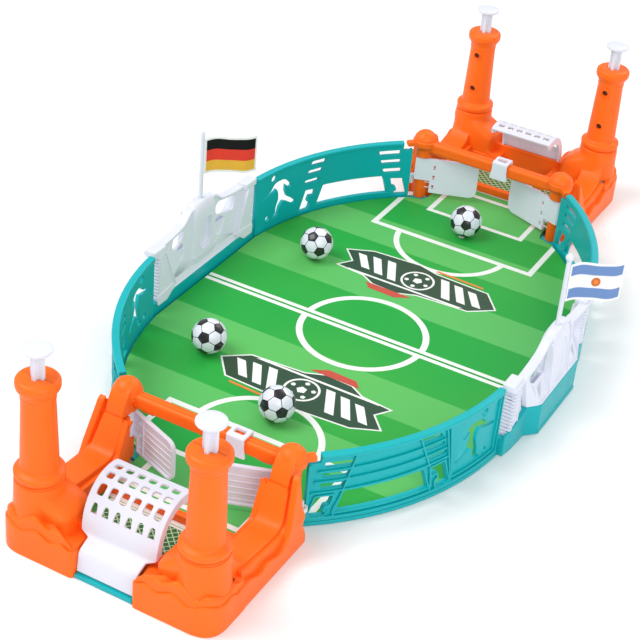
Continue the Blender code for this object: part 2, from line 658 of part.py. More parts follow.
def link_mesh():
    """Right-hand drive link, in place at the far end: fork plate at the crank, bar, and tail with a ramp."""
    pivot_x, pivot_y = POST
    offset_x, offset_y = crank_offset(0.0)
    eye_x, eye_y = pivot_x + offset_x + 0.28, pivot_y + offset_y
    slot = rounded(eye_x - 1.55, eye_y - 1.35, eye_x + 1.55, eye_y + 1.35, 0.8, 1)
    plan = rounded(eye_x - 2.6, eye_y - 2.4, eye_x + 2.6, eye_y + 2.4, 1.2, 2)
    eye = slab(plan, LINK_LOW, LINK_HIGH, holes=[slot])
    bar = box((58.4, eye_y + 1.6, LINK_LOW), (61.0, 262.0, LINK_HIGH))
    face = TOWER[1] + WEDGE_TIP + 0.45
    rear = TOWER[1] + 3.0
    foot = 16.0
    step = 20.6
    ramp = slab([(face - RAMP * 12.0, foot), (rear, foot), (rear, 31.0), (face + RAMP * 3.0, 31.0)],
                47.2, 53.2, "yz")
    base = slab([(face - RAMP * 12.0, LINK_LOW), (rear, LINK_LOW), (rear, step), (face - RAMP * 7.4, step),
                 (face - RAMP * 12.0, foot)], 47.2, 61.0, "yz")
    return combined(eye, [bar, base, ramp])


def ball_mesh():
    shape = bmesh.new()
    bmesh.ops.create_uvsphere(shape, u_segments=12, v_segments=8, radius=BALL_R * MM)
    mesh = bpy.data.meshes.new("ball")
    shape.to_mesh(mesh)
    shape.free()
    return mesh


# ---------------------------------------------------------------- assembly

def main():
    clear_scene()
    parts = bpy.data.collections.new("tabletop_football")
    bpy.context.scene.collection.children.link(parts)
    ends = (("near", -1), ("far", 1))

    for name, end in ends:
        add(parts, f"base_tray_{name}", tray_mesh(end < 0), TEAL, end=end)
        add(parts, f"pitch_board_{name}", pitch_mesh(), PRINT, end=end)
        add(parts, f"goal_body_{name}", goal_mesh(), ORANGE, end=end, smooth=35)
        add(parts, f"crossbar_{name}", crossbar_mesh(), ORANGE, end=end, smooth=35)
        add(parts, f"net_cover_{name}", cover_mesh(), WHITE, end=end, smooth=30)
        for x_name, x_sign in (("left", -1), ("right", 1)):
            flip_x, flip_y = x_sign < 0, end < 0
            add(parts, f"arena_wall_{name}_{x_name}", wall_mesh(flip_x, flip_y), TEAL, smooth=30)

    for name, end in ends:
        slider_at = (SLIDER_X[name] * end, 0.0, 0.0)
        add(parts, f"score_slider_{name}", slider_mesh(), WHITE, at=slider_at, end=end)

    for x_name, x_sign in (("left", -1), ("right", 1)):
        add(parts, f"side_box_{x_name}", moved(side_box_mesh(), turn_z(90.0 - 90.0 * x_sign)), TEAL)
        seats = moved(stand_mesh(), turn_z(90.0 - 90.0 * x_sign))
        add(parts, f"grandstand_{x_name}", seats, WHITE, smooth=30)
        pole_at = (x_sign * FLAG_X, 0.0, 0.0)
        add(parts, f"flag_pole_{x_name}", pole_mesh(x_sign > 0), WHITE, at=pole_at, smooth=40)
        spec = CLOTH_B if x_sign > 0 else CLOTH_A
        heading, foot = FLAGS[x_name]
        add(parts, f"flag_{x_name}", flag_mesh(heading), spec, at=(x_sign * FLAG_X, 0.0, foot), smooth=40)

    # a piece made for the far right corner serves the near left one by half a turn
    for name, end in ends:
        for side in (1, -1):
            x_name = "right" if side * end > 0 else "left"
            corner = f"{name}_{x_name}"
            tower_at = (side * TOWER[0], TOWER[1], 0.0)
            for half_name, front in (("front", True), ("back", False)):
                add(parts, f"column_{half_name}_{corner}", column_half(front), ORANGE, tower_at, end, 35)
            for level, z in zip(("upper", "lower"), SCREW_Z):
                screw = moved(screw_mesh(), screw_turn(z))
                add(parts, f"screw_{level}_{corner}", screw, SCREW, tower_at, end, 40)
            add(parts, f"plunger_{corner}", plunger_mesh(), WHITE, tower_at, end, 35)
            add(parts, f"spring_{corner}", spring_mesh(), STEEL, tower_at, end, 60)
            flipper, link = flipper_mesh(), link_mesh()
            if side < 0:
                flipper = mirrored(flipper, flip_x=True)
                link = mirrored(link, flip_x=True)
            link = moved(link, at_point(-side * TOWER[0], -TOWER[1]))
            pivot_at = (side * POST[0], POST[1], 0.0)
            add(parts, f"flipper_{corner}", flipper, WHITE, pivot_at, end, 35)
            add(parts, f"drive_link_{corner}", link, WHITE, tower_at, end)

    ball_z = PITCH_TOP + GAP + BALL_R
    for number, (x, y) in enumerate(BALL_SPOTS, start=1):
        add(parts, f"ball_{number}", ball_mesh(), BALL, at=(x, y, ball_z), smooth=60)


main()
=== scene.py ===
"""Looks of the tabletop football game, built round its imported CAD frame.

Lengths in this script are millimetres, and MM turns them into metres. The far goal is at +Y and the near
goal at -Y. Pieces are shaped for the far end and turned half round for the near one.
"""
import json
import math

import bmesh
import bpy
from mathutils import Euler, Matrix, Vector

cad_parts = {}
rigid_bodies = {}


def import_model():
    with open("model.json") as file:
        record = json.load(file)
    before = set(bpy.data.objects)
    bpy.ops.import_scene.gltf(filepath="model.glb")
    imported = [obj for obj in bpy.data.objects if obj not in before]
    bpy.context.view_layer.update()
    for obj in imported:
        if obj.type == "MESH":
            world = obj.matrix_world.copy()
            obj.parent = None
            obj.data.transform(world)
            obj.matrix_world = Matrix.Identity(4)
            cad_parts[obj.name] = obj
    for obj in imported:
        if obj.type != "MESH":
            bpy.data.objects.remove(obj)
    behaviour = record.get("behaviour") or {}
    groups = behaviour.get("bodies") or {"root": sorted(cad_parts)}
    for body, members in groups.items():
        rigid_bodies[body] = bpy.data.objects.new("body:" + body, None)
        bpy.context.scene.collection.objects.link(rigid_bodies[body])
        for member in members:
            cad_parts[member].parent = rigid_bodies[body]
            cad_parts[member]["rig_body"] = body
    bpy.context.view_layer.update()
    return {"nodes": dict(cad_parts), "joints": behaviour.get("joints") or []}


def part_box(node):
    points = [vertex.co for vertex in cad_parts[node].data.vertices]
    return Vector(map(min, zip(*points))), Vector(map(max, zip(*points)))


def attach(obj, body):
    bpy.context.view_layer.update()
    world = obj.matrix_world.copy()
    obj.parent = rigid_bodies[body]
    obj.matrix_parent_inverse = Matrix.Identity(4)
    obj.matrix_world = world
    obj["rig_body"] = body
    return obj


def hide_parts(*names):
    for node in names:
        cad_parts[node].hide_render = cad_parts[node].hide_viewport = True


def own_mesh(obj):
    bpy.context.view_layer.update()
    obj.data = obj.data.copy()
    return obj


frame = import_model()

MM = 0.001
GAP = 0.3
NO_MERGE = 0.000004           # metres

JOINTS = {joint["name"]: joint for joint in frame["joints"]}


def span(node):
    """Lowest and highest corner of a CAD node, in millimetres."""
    low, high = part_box(node)
    return low / MM, high / MM


def middle(node):
    low, high = span(node)
    return (low + high) / 2


# main sizes, read from the frame
TRAY_TOP = span("base_tray_far")[1].z
PITCH_TOP = span("pitch_board_far")[1].z
POST = tuple(value / MM for value in JOINTS["kick_far_right"]["pos_m"][:2])
SCREW_REACH = 8.15            # from a tower's axis to the middle of its screws
TOWER = (middle("plunger_far_right").x, middle("screw_upper_far_right").y + SCREW_REACH)
HEAD_TOP = span("plunger_far_right")[1].z
CAP_TOP = span("column_front_far_right")[1].z
COLLAR_Z = span("column_front_far_right")[0].z
SCREW_Z = (middle("screw_upper_far_right").z, middle("screw_lower_far_right").z)
BOX_TOP = span("side_box_right")[1].z
SILL_TOP = span("grandstand_right")[0].z - GAP
STAND_HALF = span("grandstand_right")[1].y
WALL_TOP = span("arena_wall_far_right")[1].z
END_Y = span("base_tray_far")[1].y
FLAG_X = middle("flag_pole_right").x
BALL_R = (span("ball_1")[1].z - span("ball_1")[0].z) / 2

# the round of the pitch
ARC_CENTRE = (54.5, 44.7)     # each wall's arc is centred at -54.5 on its own side
ARC_R = 173.5
WALL_IN, WALL_OUT = 171.6, 176.3
SIDE_X = 117.3
WALL_START, WALL_END, RIM_END = 5.7, 49.7, 47.4       # degrees along the arc
FLIPPER_REST, FLIPPER_SWING, CRANK_R = 21.0, 40.0, 7.5
FLAG_HEADING = {"left": 46.0, "right": 42.0}
FILM = 0.05                   # thickness of printed ink
STRAIGHT_END = 61.0           # half the length of the straight stretch beside the stands
PRESS = 12.0                  # travel of a push button
STAND_LEAN, BEAM_LEAN = 0.07, 0.13
FOOT_HEIGHT, BEAM_SIDE = 20.0, 52.0                   # above and outside these a goal beam leans in
RING_STEP = 0.8               # distance between the points along a wavy edge
WAVY_EDGE = ((0, 1), (0.1, 0.55), (0.35, 0.2), (0.7, 0.04), (1.1, 0))     # inset and drop of its round
SHOULDER_R = 13.3             # half width of the shoulder under a tower's collar
SPRING_R, SPRING_WIRE, SPRING_SEAT, SPRING_KEEP = 5.4, 0.4, 50.5, 0.718


# ---------------------------------------------------------------- node materials

def feed(tree, socket, value):
    if isinstance(value, bpy.types.NodeSocket):
        tree.links.new(value, socket)
    else:
        socket.default_value = value


def node(tree, kind, inputs=None, **settings):
    made = tree.nodes.new(kind)
    for key, value in settings.items():
        setattr(made, key, value)
    for key, value in (inputs or {}).items():
        feed(tree, made.inputs[key], value)
    return made


def calc(tree, operation, a, b=0.0):
    made = node(tree, "ShaderNodeMath", operation=operation)
    feed(tree, made.inputs[0], a)
    feed(tree, made.inputs[1], b)
    return made.outputs[0]


def between(tree, value, low, high, to_low=0.0, to_high=1.0):
    """Value from low..high brought to to_low..to_high, held at the ends."""
    made = node(tree, "ShaderNodeMapRange", {"Value": value, "From Min": low, "From Max": high,
                                             "To Min": to_low, "To Max": to_high})
    return made.outputs["Result"]


def tint(tree, factor, a, b):
    made = node(tree, "ShaderNodeMix", data_type="RGBA")
    feed(tree, made.inputs[0], factor)
    feed(tree, made.inputs[6], a)
    feed(tree, made.inputs[7], b)
    return made.outputs[2]


def noise(tree, place, scale, detail=2.0, rough=0.5):
    made = node(tree, "ShaderNodeTexNoise", {"Vector": place, "Scale": scale, "Detail": detail,
                                             "Roughness": rough})
    return made.outputs["Fac"]


def new_look(name, rough, metal=0.0, coat=0.0):
    look = bpy.data.materials.new(name)
    look.use_nodes = True
    tree = look.node_tree
    shader = tree.nodes["Principled BSDF"]
    shader.inputs["Roughness"].default_value = rough
    shader.inputs["Metallic"].default_value = metal
    shader.inputs["Coat Weight"].default_value = coat
    shader.inputs["Coat Roughness"].default_value = 0.12
    place = node(tree, "ShaderNodeTexCoord").outputs["Object"]
    return look, tree, shader, place


def shade(colour, factor):
    return (*(min(1.0, channel * factor) for channel in colour), 1.0)


def grained(tree, shader, place, rough, scale=900.0, depth=0.012, strength=0.1):
    """Fine mould texture as bump, and slow patches of more and less gloss."""
    fine = noise(tree, place, scale, 3.0)
    bump = node(tree, "ShaderNodeBump", {"Height": fine, "Distance": depth * MM, "Strength": strength})
    feed(tree, shader.inputs["Normal"], bump.outputs["Normal"])
    patches = noise(tree, place, 45.0, 4.0, 0.6)
    feed(tree, shader.inputs["Roughness"], between(tree, patches, 0.3, 0.7, rough - 0.06, rough + 0.09))


def plastic(name, colour, rough=0.36, coat=0.0, flow=0.05, gloss=0.5, glow=None):
    """Satin moulded plastic: slow flow marks, faint streaks and a fine grain; glow lifts its shadows."""
    look, tree, shader, place = new_look(name, rough, coat=coat)
    drift = noise(tree, place, 14.0, 3.0, 0.55)
    base = tint(tree, between(tree, drift, 0.3, 0.7), shade(colour, 1.0 - flow), shade(colour, 1.0 + flow))
    streaks = node(tree, "ShaderNodeMapping", {"Vector": place, "Scale": (1.0, 1.0, 0.25)}).outputs[0]
    swirl = noise(tree, streaks, 60.0, 4.0, 0.6)
    base = tint(tree, between(tree, swirl, 0.45, 0.75, 0.0, 0.5 * flow + 0.02), base, shade(colour, 0.8))
    feed(tree, shader.inputs["Base Color"], base)
    shader.inputs["Specular IOR Level"].default_value = gloss
    # emission: painted light, a faint glow that lifts the shadows
    if glow:
        shader.inputs["Emission Color"].default_value = (*glow, 1.0)
        shader.inputs["Emission Strength"].default_value = 1.0
    grained(tree, shader, place, rough)
    return look


def steel(name, colour, rough):
    """Drawn wire or turned steel with fine streaks."""
    look, tree, shader, place = new_look(name, rough, metal=1.0)
    streak = noise(tree, place, 700.0, 4.0, 0.7)
    feed(tree, shader.inputs["Base Color"], tint(tree, streak, shade(colour, 0.8), shade(colour, 1.15)))
    grained(tree, shader, place, rough, 2500.0, 0.02, 0.3)
    return look


LIGHT_GREEN, DEEP_GREEN = (0.100, 0.470, 0.115), (0.014, 0.350, 0.050)
STRIPE_EDGES = (37.0, 70.0, 104.0, 136.0, 170.0)


def turf():
    """Printed grass: mown stripes across the pitch, slow patches of tone and the print's fine dots."""
    look, tree, shader, place = new_look("pitch_turf", 0.4)
    shader.inputs["Specular IOR Level"].default_value = 0.18
    axes = node(tree, "ShaderNodeSeparateXYZ", {"Vector": place})
    along_pitch = calc(tree, "ABSOLUTE", axes.outputs["Y"])
    light = 0.0
    sign = 1.0
    for edge in STRIPE_EDGES:
        step = between(tree, along_pitch, (edge - 0.25) * MM, (edge + 0.25) * MM, 0.0, sign)
        light = step if sign > 0 and light == 0.0 else calc(tree, "ADD", light, step)
        sign = -sign
    cross = noise(tree, place, 7.0, 2.0)
    base = tint(tree, light, (*DEEP_GREEN, 1.0), (*LIGHT_GREEN, 1.0))
    base = tint(tree, between(tree, cross, 0.42, 0.75, 0.0, 0.22), base, (0.16, 0.50, 0.06, 1.0))
    blades = node(tree, "ShaderNodeMapping", {"Vector": place, "Scale": (1.0, 5.0, 1.0)}).outputs[0]
    grass = noise(tree, blades, 420.0, 4.0, 0.65)
    base = tint(tree, between(tree, grass, 0.35, 0.7, 0.0, 0.03), base, (0.008, 0.22, 0.03, 1.0))
    feed(tree, shader.inputs["Base Color"], base)
    feed(tree, shader.inputs["Roughness"], between(tree, cross, 0.3, 0.7, 0.36, 0.46))
    return look


def ink(name, colour, rough=0.34):
    """Printed ink: dense, with the faint unevenness of a screen print."""
    look, tree, shader, place = new_look(name, rough, coat=0.2)
    patch = noise(tree, place, 260.0, 4.0, 0.7)
    feed(tree, shader.inputs["Base Color"], tint(tree, patch, shade(colour, 0.9), shade(colour, 1.04)))
    grained(tree, shader, place, rough, 900.0, 0.01, 0.08)
    return look


def flag_cloth(name, bands, disc=None):
    """Printed cloth: bands from the bottom edge up inside a white margin, with a plain disc if asked."""
    look, tree, shader, place = new_look(name, 0.7)
    shader.inputs["Specular IOR Level"].default_value = 0.15
    uv = node(tree, "ShaderNodeTexCoord").outputs["UV"]
    axes = node(tree, "ShaderNodeSeparateXYZ", {"Vector": uv})
    u, v = axes.outputs["X"], axes.outputs["Y"]
    base = (*bands[0][1], 1.0)
    for start, colour in bands[1:]:
        base = tint(tree, between(tree, v, start - 0.006, start + 0.006), base, (*colour, 1.0))
    if disc:
        across = calc(tree, "MULTIPLY", calc(tree, "SUBTRACT", u, 0.5), 1.5)
        up = calc(tree, "SUBTRACT", v, 0.5)
        away = calc(tree, "SQRT", calc(tree, "ADD", calc(tree, "MULTIPLY", across, across),
                                       calc(tree, "MULTIPLY", up, up)))
        base = tint(tree, between(tree, away, 0.118, 0.130), (*disc, 1.0), base)
        inner = shade(disc, 1.5)
        base = tint(tree, between(tree, away, 0.055, 0.062), inner, base)
    for value, low, high in ((u, 0.03, 0.965), (v, 0.06, 0.94)):
        inside = calc(tree, "MULTIPLY", between(tree, value, low - 0.006, low + 0.006),
                      between(tree, value, high - 0.006, high + 0.006, 1.0, 0.0))
        base = tint(tree, inside, (0.86, 0.86, 0.86, 1.0), base)
    weave = node(tree, "ShaderNodeTexWave", {"Vector": place, "Scale": 900.0, "Distortion": 1.0})
    base = tint(tree, between(tree, weave.outputs["Fac"], 0.0, 1.0, 0.0, 0.03), base, (0.3, 0.3, 0.3, 1.0))
    feed(tree, shader.inputs["Base Color"], base)
    bump = node(tree, "ShaderNodeBump", {"Height": weave.outputs["Fac"], "Distance": 0.05 * MM,
                                         "Strength": 0.3})
    feed(tree, shader.inputs["Normal"], bump.outputs["Normal"])
    return look


LOOKS = {
    "orange": plastic("orange_abs", (1.0, 0.150, 0.010), 0.38, gloss=0.22),
    "teal": plastic("turquoise_abs", (0.002, 0.400, 0.430), 0.34, gloss=0.28),
    # the white plastic glows faintly: painted light that lifts its shadows
    "white": plastic("white_abs", (0.63, 0.64, 0.70), 0.36, flow=0.015, gloss=0.35,
                     glow=(0.09, 0.10, 0.13)),
    "link": plastic("link_acetal", (0.80, 0.80, 0.78), 0.45, flow=0.03),
    "spring": steel("spring_wire", (0.62, 0.62, 0.64), 0.3),
    "screw": steel("screw_black", (0.17, 0.10, 0.08), 0.42),
    "turf": turf(),
    "line": ink("line_ink", (0.86, 0.87, 0.83)),
    "net_line": ink("net_line_ink", (0.52, 0.78, 0.45)),
    "net_dark": ink("net_dark_ink", (0.010, 0.16, 0.035)),
    "badge_dark": ink("badge_dark_ink", (0.008, 0.055, 0.020)),
    "badge_red": ink("badge_red_ink", (0.55, 0.06, 0.03)),
    "badge_orange": ink("badge_orange_ink", (0.80, 0.20, 0.03)),
    "ball_white": plastic("ball_white", (0.74, 0.76, 0.84), 0.30, coat=0.2, flow=0.02),
    "ball_black": plastic("ball_black", (0.010, 0.010, 0.012), 0.30, coat=0.3, flow=0.2),
    "flag_left": flag_cloth("flag_left_print", [(0.0, (0.84, 0.45, 0.05)), (0.345, (0.80, 0.05, 0.03)),
                                                (0.655, (0.004, 0.004, 0.004))]),
    "flag_right": flag_cloth("flag_right_print", [(0.0, (0.155, 0.265, 0.52)), (0.33, (0.84, 0.85, 0.88)),
                                                  (0.68, (0.155, 0.265, 0.52))], disc=(0.62, 0.16, 0.03)),
}


# ---------------------------------------------------------------- modelling helpers

PLANES = {
    "xy": Matrix(((1, 0, 0, 0), (0, 1, 0, 0), (0, 0, 1, 0), (0, 0, 0, 1))),
    "xz": Matrix(((1, 0, 0, 0), (0, 0, 1, 0), (0, 1, 0, 0), (0, 0, 0, 1))),
    "yz": Matrix(((0, 0, 1, 0), (1, 0, 0, 0), (0, 1, 0, 0), (0, 0, 0, 1))),
}


def linked(name, data):
    """New object of the scene that shows the data."""
    made = bpy.data.objects.new(name, data)
    bpy.context.scene.collection.objects.link(made)
    return made


def baked(data, modifiers=()):
    """Plain mesh of a curve or mesh with modifiers applied."""
    worker = linked("worker", data)
    for kind, settings in modifiers:
        modifier = worker.modifiers.new(kind, kind)
        for key, value in settings.items():
            setattr(modifier, key, value)
    graph = bpy.context.evaluated_depsgraph_get()
    graph.update()
    mesh = bpy.data.meshes.new_from_object(worker.evaluated_get(graph))
    bpy.data.objects.remove(worker, do_unlink=True)
    return mesh


def opened(mesh):
    shape = bmesh.new()
    shape.from_mesh(mesh)
    return shape


def closed_up(shape, mesh=None):
    """The bmesh written into the mesh, or into a new one."""
    mesh = mesh or bpy.data.meshes.new("shape")
    shape.to_mesh(mesh)
    shape.free()
    return mesh


def cleaned(mesh, move=None):
    """The same mesh, moved if asked, without doubled points and with its normals outwards."""
    shape = opened(mesh)
    bmesh.ops.remove_doubles(shape, verts=shape.verts, dist=NO_MERGE)
    if move is not None:
        bmesh.ops.transform(shape, matrix=move, verts=shape.verts)
    bmesh.ops.recalc_face_normals(shape, faces=shape.faces)
    return closed_up(shape, mesh)


def plate(outline, low, high, plane="xy", holes=(), edge=0.4, steps=2):
    """Flat outline with holes, extruded from low to high, all its edges rounded by edge."""
    curve = bpy.data.curves.new("outline", "CURVE")
    curve.dimensions = "2D"
    curve.fill_mode = "BOTH"
    curve.extrude = ((high - low) / 2 - edge) * MM
    curve.bevel_depth = edge * MM
    curve.bevel_resolution = steps
    curve.offset = -edge * MM
    for ring in (outline, *holes):
        spline = curve.splines.new("POLY")
        spline.points.add(len(ring) - 1)
        for point, place in zip(spline.points, ring):
            point.co = (place[0] * MM, place[1] * MM, 0, 1)
        spline.use_cyclic_u = True
    lift = Matrix.Translation((0, 0, (low + high) / 2 * MM))
    return cleaned(baked(curve), PLANES[plane] @ lift)


def softened(points, radius, closed=True, steps=4):
    """The same line with its corners rounded; radius is one number, or one for each point."""
    result = []
    count = len(points)
    for i, place in enumerate(points):
        size = radius[i] if isinstance(radius, (list, tuple)) else radius
        here = Vector(place)
        if size <= 0 or (not closed and i in (0, count - 1)):
            result.append(here)
            continue
        back = Vector(points[i - 1]) - here
        ahead = Vector(points[(i + 1) % count]) - here
        cut = min(size, back.length * 0.48, ahead.length * 0.48)
        start = here + back.normalized() * cut
        stop = here + ahead.normalized() * cut
        for k in range(steps + 1):
            t = k / steps
            result.append(start * (1 - t) ** 2 + here * 2 * t * (1 - t) + stop * t * t)
    return result


def oblong(x0, y0, x1, y1, radius, steps=4):
    return softened([(x0, y0), (x1, y0), (x1, y1), (x0, y1)], radius, steps=steps)


def block(low, high, edge=0.6):
    (x0, y0, z0), (x1, y1, z1) = low, high
    return plate(oblong(x0, y0, x1, y1, edge, 3), z0, z1, edge=edge)


def cutter(low, high):
    """Sharp box for cutting."""
    shape = bmesh.new()
    bmesh.ops.create_cube(shape, size=1)
    size = Vector(high) - Vector(low)
    place = (Vector(high) + Vector(low)) / 2
    matrix = Matrix.Translation(place * MM) @ Matrix.Diagonal((*(size * MM), 1))
    bmesh.ops.transform(shape, matrix=matrix, verts=shape.verts)
    return closed_up(shape)


def turned(profile, steps=48, at=(0, 0)):
    """Solid of revolution of (radius, z) points from the top of its axis down to the bottom of it."""
    mesh = bpy.data.meshes.new("profile")
    points = [(max(place[0], 0) * MM, 0, place[1] * MM) for place in profile]
    mesh.from_pydata(points, [(i, i + 1) for i in range(len(points) - 1)], [])
    screw = {"steps": steps, "render_steps": steps, "use_merge_vertices": True,
             "merge_threshold": NO_MERGE, "use_smooth_shade": False}
    move = Matrix.Translation((at[0] * MM, at[1] * MM, 0))
    return cleaned(baked(mesh, [("SCREW", screw)]), move)


def lathe(points, radii, steps, at=(0, 0)):
    """Turned solid whose open profile has softened corners."""
    return turned(softened(points, radii, closed=False), steps, at)


def rod(radius, z0, z1, steps=24, at=(0, 0)):
    return turned([(0, z1), (radius, z1), (radius, z0), (0, z0)], steps, at)


def combined(base, others, operation="UNION"):
    """Base mesh united with, or cut by, the other meshes one after another."""
    for other in others:
        tool = linked("tool", other)
        settings = {"operation": operation, "object": tool, "solver": "MANIFOLD"}
        base = baked(base, [("BOOLEAN", settings)])
        bpy.data.objects.remove(tool, do_unlink=True)
    return base


def cut(base, tools):
    return combined(base, tools, "DIFFERENCE")


def flipped(mesh, flip_x=False, flip_y=False):
    flip = Matrix.Diagonal((-1 if flip_x else 1, -1 if flip_y else 1, 1, 1))
    return cleaned(mesh.copy(), flip)


def both_sides(meshes):
    return [side for mesh in meshes for side in (mesh, flipped(mesh, flip_x=True))]


def at_point(x, y, z=0):
    return Matrix.Translation((x * MM, y * MM, z * MM))


def turn_z(degrees):
    return Matrix.Rotation(math.radians(degrees), 4, "Z")


def loft(rings):
    """Closed solid through rings with the same number of points, listed from the bottom up."""
    shape = bmesh.new()
    made = [[shape.verts.new(Vector(point) * MM) for point in ring] for ring in rings]
    for low, high in zip(made, made[1:]):
        for i in range(len(low)):
            j = (i + 1) % len(low)
            shape.faces.new((low[i], low[j], high[j], high[i]))
    shape.faces.new(list(reversed(made[0])))
    shape.faces.new(made[-1])
    return cleaned(closed_up(shape))


def section(z, x0, x1, y0, y1, power, count=72):
    """Ring of a loft: a rounded rectangle, square at a high power and an ellipse at 2."""
    cx, cy = (x0 + x1) / 2, (y0 + y1) / 2
    a, b = (x1 - x0) / 2, (y1 - y0) / 2
    ring = []
    for i in range(count):
        turn = math.tau * (i + 0.5) / count
        c, s = math.cos(turn), math.sin(turn)
        ring.append((cx + a * math.copysign(abs(c) ** (2 / power), c),
                     cy + b * math.copysign(abs(s) ** (2 / power), s), z))
    return ring


def smooth_sections(keys, substeps=4):
    """Sections between the key ones (z, x0, x1, y0, y1, power) on a smooth curve through them."""
    rings = []
    for i in range(len(keys) - 1):
        p0, p1, p2, p3 = (Vector(keys[max(0, min(len(keys) - 1, k))]) for k in (i - 1, i, i + 1, i + 2))
        for k in range(substeps):
            t = k / substeps
            value = 0.5 * ((2 * p1) + (p2 - p0) * t + (2 * p0 - 5 * p1 + 4 * p2 - p3) * t * t
                           + (3 * p1 - p0 - 3 * p2 + p3) * t ** 3)
            rings.append(section(*value))
    rings.append(section(*keys[-1]))
    return rings


def arc(radius, start, stop, count):
    """Points on one quarter's wall arc, in the quarter where x and y are positive."""
    cx, cy = ARC_CENTRE
    points = []
    for i in range(count + 1):
        angle = math.radians(start + (stop - start) * i / count)
        points.append((-cx + radius * math.cos(angle), cy + radius * math.sin(angle)))
    return points


def half_plan(side_x, radius, last_angle, end_points):
    first = math.degrees(math.asin((STRAIGHT_END - ARC_CENTRE[1]) / radius))
    right = [(side_x, GAP / 2), (side_x, STRAIGHT_END)]
    right += arc(radius, first + 0.4, last_angle, 44) + end_points
    return right + [(-x, y) for x, y in reversed(right)]


def grown(ring, amount):
    """Ring with its sides moved out by amount."""
    count = len(ring)
    area = sum(ring[i - 1][0] * ring[i][1] - ring[i][0] * ring[i - 1][1] for i in range(count))
    way = 1 if area > 0 else -1
    result = []
    for i in range(count):
        here = Vector(ring[i][:2])
        before = (here - Vector(ring[i - 1][:2])).normalized()
        after = (Vector(ring[(i + 1) % count][:2]) - here).normalized()
        first, second = Vector((before.y, -before.x)), Vector((after.y, -after.x))
        mitre = (first + second) / max(0.3, 1 + first.dot(second))
        result.append(here + mitre * amount * way)
    return result


def cut_flat(mesh, spots):
    """Extra edge loops across a mesh at spots along x, where it is going to bend."""
    shape = opened(mesh)
    for spot in spots:
        everything = list(shape.verts) + list(shape.edges) + list(shape.faces)
        bmesh.ops.bisect_plane(shape, geom=everything, dist=NO_MERGE, plane_no=(1, 0, 0), plane_co=spot)
    return closed_up(shape, mesh)


def stand_for(cad_node, mesh, look, angle=38):
    """Finished piece that stands for one CAD node and rides on its body."""
    piece = free_piece("fine_" + cad_node, mesh, look, frame["nodes"][cad_node]["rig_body"],
                       angle)
    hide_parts(cad_node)
    return piece


def free_piece(name, mesh, look, body, angle=38):
    mesh.name = name
    if look:
        mesh.materials.clear()
        mesh.materials.append(LOOKS[look])
    mesh.shade_smooth()
    mesh.set_sharp_from_angle(angle=math.radians(angle))
    piece = linked(name, mesh)
    even = piece.modifiers.new("even_shading", "WEIGHTED_NORMAL")
    even.keep_sharp = True
    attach(piece, body)
    return piece


def at_end(mesh, end):
    return cleaned(mesh, turn_z(180)) if end < 0 else mesh


# ---------------------------------------------------------------- tray, pitch and print

def tray(tab):
    tongue = [(44.7, 186), (44.7, 248.4), (17.6, 248.4), (17.6, END_Y)]
    shape = plate(half_plan(SIDE_X, WALL_OUT, 51.5, tongue), 0, TRAY_TOP, edge=0.5)
    if tab:
        return combined(shape, [cutter((-15, -12, 0), (15, 1, TRAY_TOP))])
    return cut(shape, [cutter((-15.3, -1, -1), (15.3, 12.3, TRAY_TOP + 1))])


def board():
    mouth = [(46, 178.6), (44.3, 184.5), (44.3, 247.5)]
    return plate(half_plan(SIDE_X - 1.2, WALL_IN - 0.6, 49.4, mouth), TRAY_TOP + GAP, PITCH_TOP, edge=0.15)


def film(outline, holes=(), level=0):
    """Patch of printed ink on the far pitch half; a higher level lies on top of a lower one."""
    low = PITCH_TOP - FILM + level * FILM
    return plate(outline, low, low + 2 * FILM, holes=holes, edge=0.01, steps=0)


def ring_part(cx, cy, radius, width, start, stop, count=48):
    angles = [math.radians(start + (stop - start) * i / count) for i in range(count + 1)]
    sides = [[(cx + reach * math.cos(a), cy + reach * math.sin(a)) for a in angles]
             for reach in (radius + width / 2, radius - width / 2)]
    return sides[0] + sides[1][::-1]


def bracket(half_width, front, back, line):
    """Open box line: two sides and a front."""
    w, inner = half_width + line / 2, half_width - line / 2
    low, high = front - line / 2, front + line / 2
    half = [(w, low), (w, back), (inner, back), (inner, high)]
    return [(-w, low)] + half + [(-x, y) for x, y in half[:0:-1]]


def pitch_lines():
    spot = [(2.2 * math.cos(a * math.tau / 24), 147 + 2.2 * math.sin(a * math.tau / 24)) for a in range(24)]
    lines = [
        film(bracket(59.4, 128.9, 178, 4)),
        film(bracket(35.4, 168, 204.5, 3.6)),
        film([(-50, 203.9), (50, 203.9), (50, 207.5), (-50, 207.5)]),
        film(ring_part(0, 0, 40.2, 4.2, 3, 177)),
        film(ring_part(0, 133.3, 39.4, 4, 187, 353)),
        film([(-40, 213.5), (40, 213.5), (40, 221), (-40, 221)]),
        film(spot),
    ]
    whole = combined(film([(-130, 0.9), (130, 0.9), (130, 4.1), (-130, 4.1)]), lines)
    mouth = [(45.4, 178.6), (43.7, 184.5), (43.7, 247)]
    inside = plate(half_plan(SIDE_X - 1.8, WALL_IN - 1.2, 49.2, mouth), 1, 9, edge=0.1)
    return combined(whole, [inside], "INTERSECT")


NET_LOW, NET_HIGH, NET_X = 221.5, 247, 36


def net_frame():
    outer = oblong(-NET_X, NET_LOW, NET_X, NET_HIGH, 1)
    return film(outer, [oblong(-NET_X + 1.6, NET_LOW + 1.6, NET_X - 1.6, NET_HIGH - 1.6, 0.8)], 1)


def net_ground():
    return film(oblong(-NET_X + 1.2, NET_LOW + 1.2, NET_X - 1.2, NET_HIGH - 1.2, 0.8))


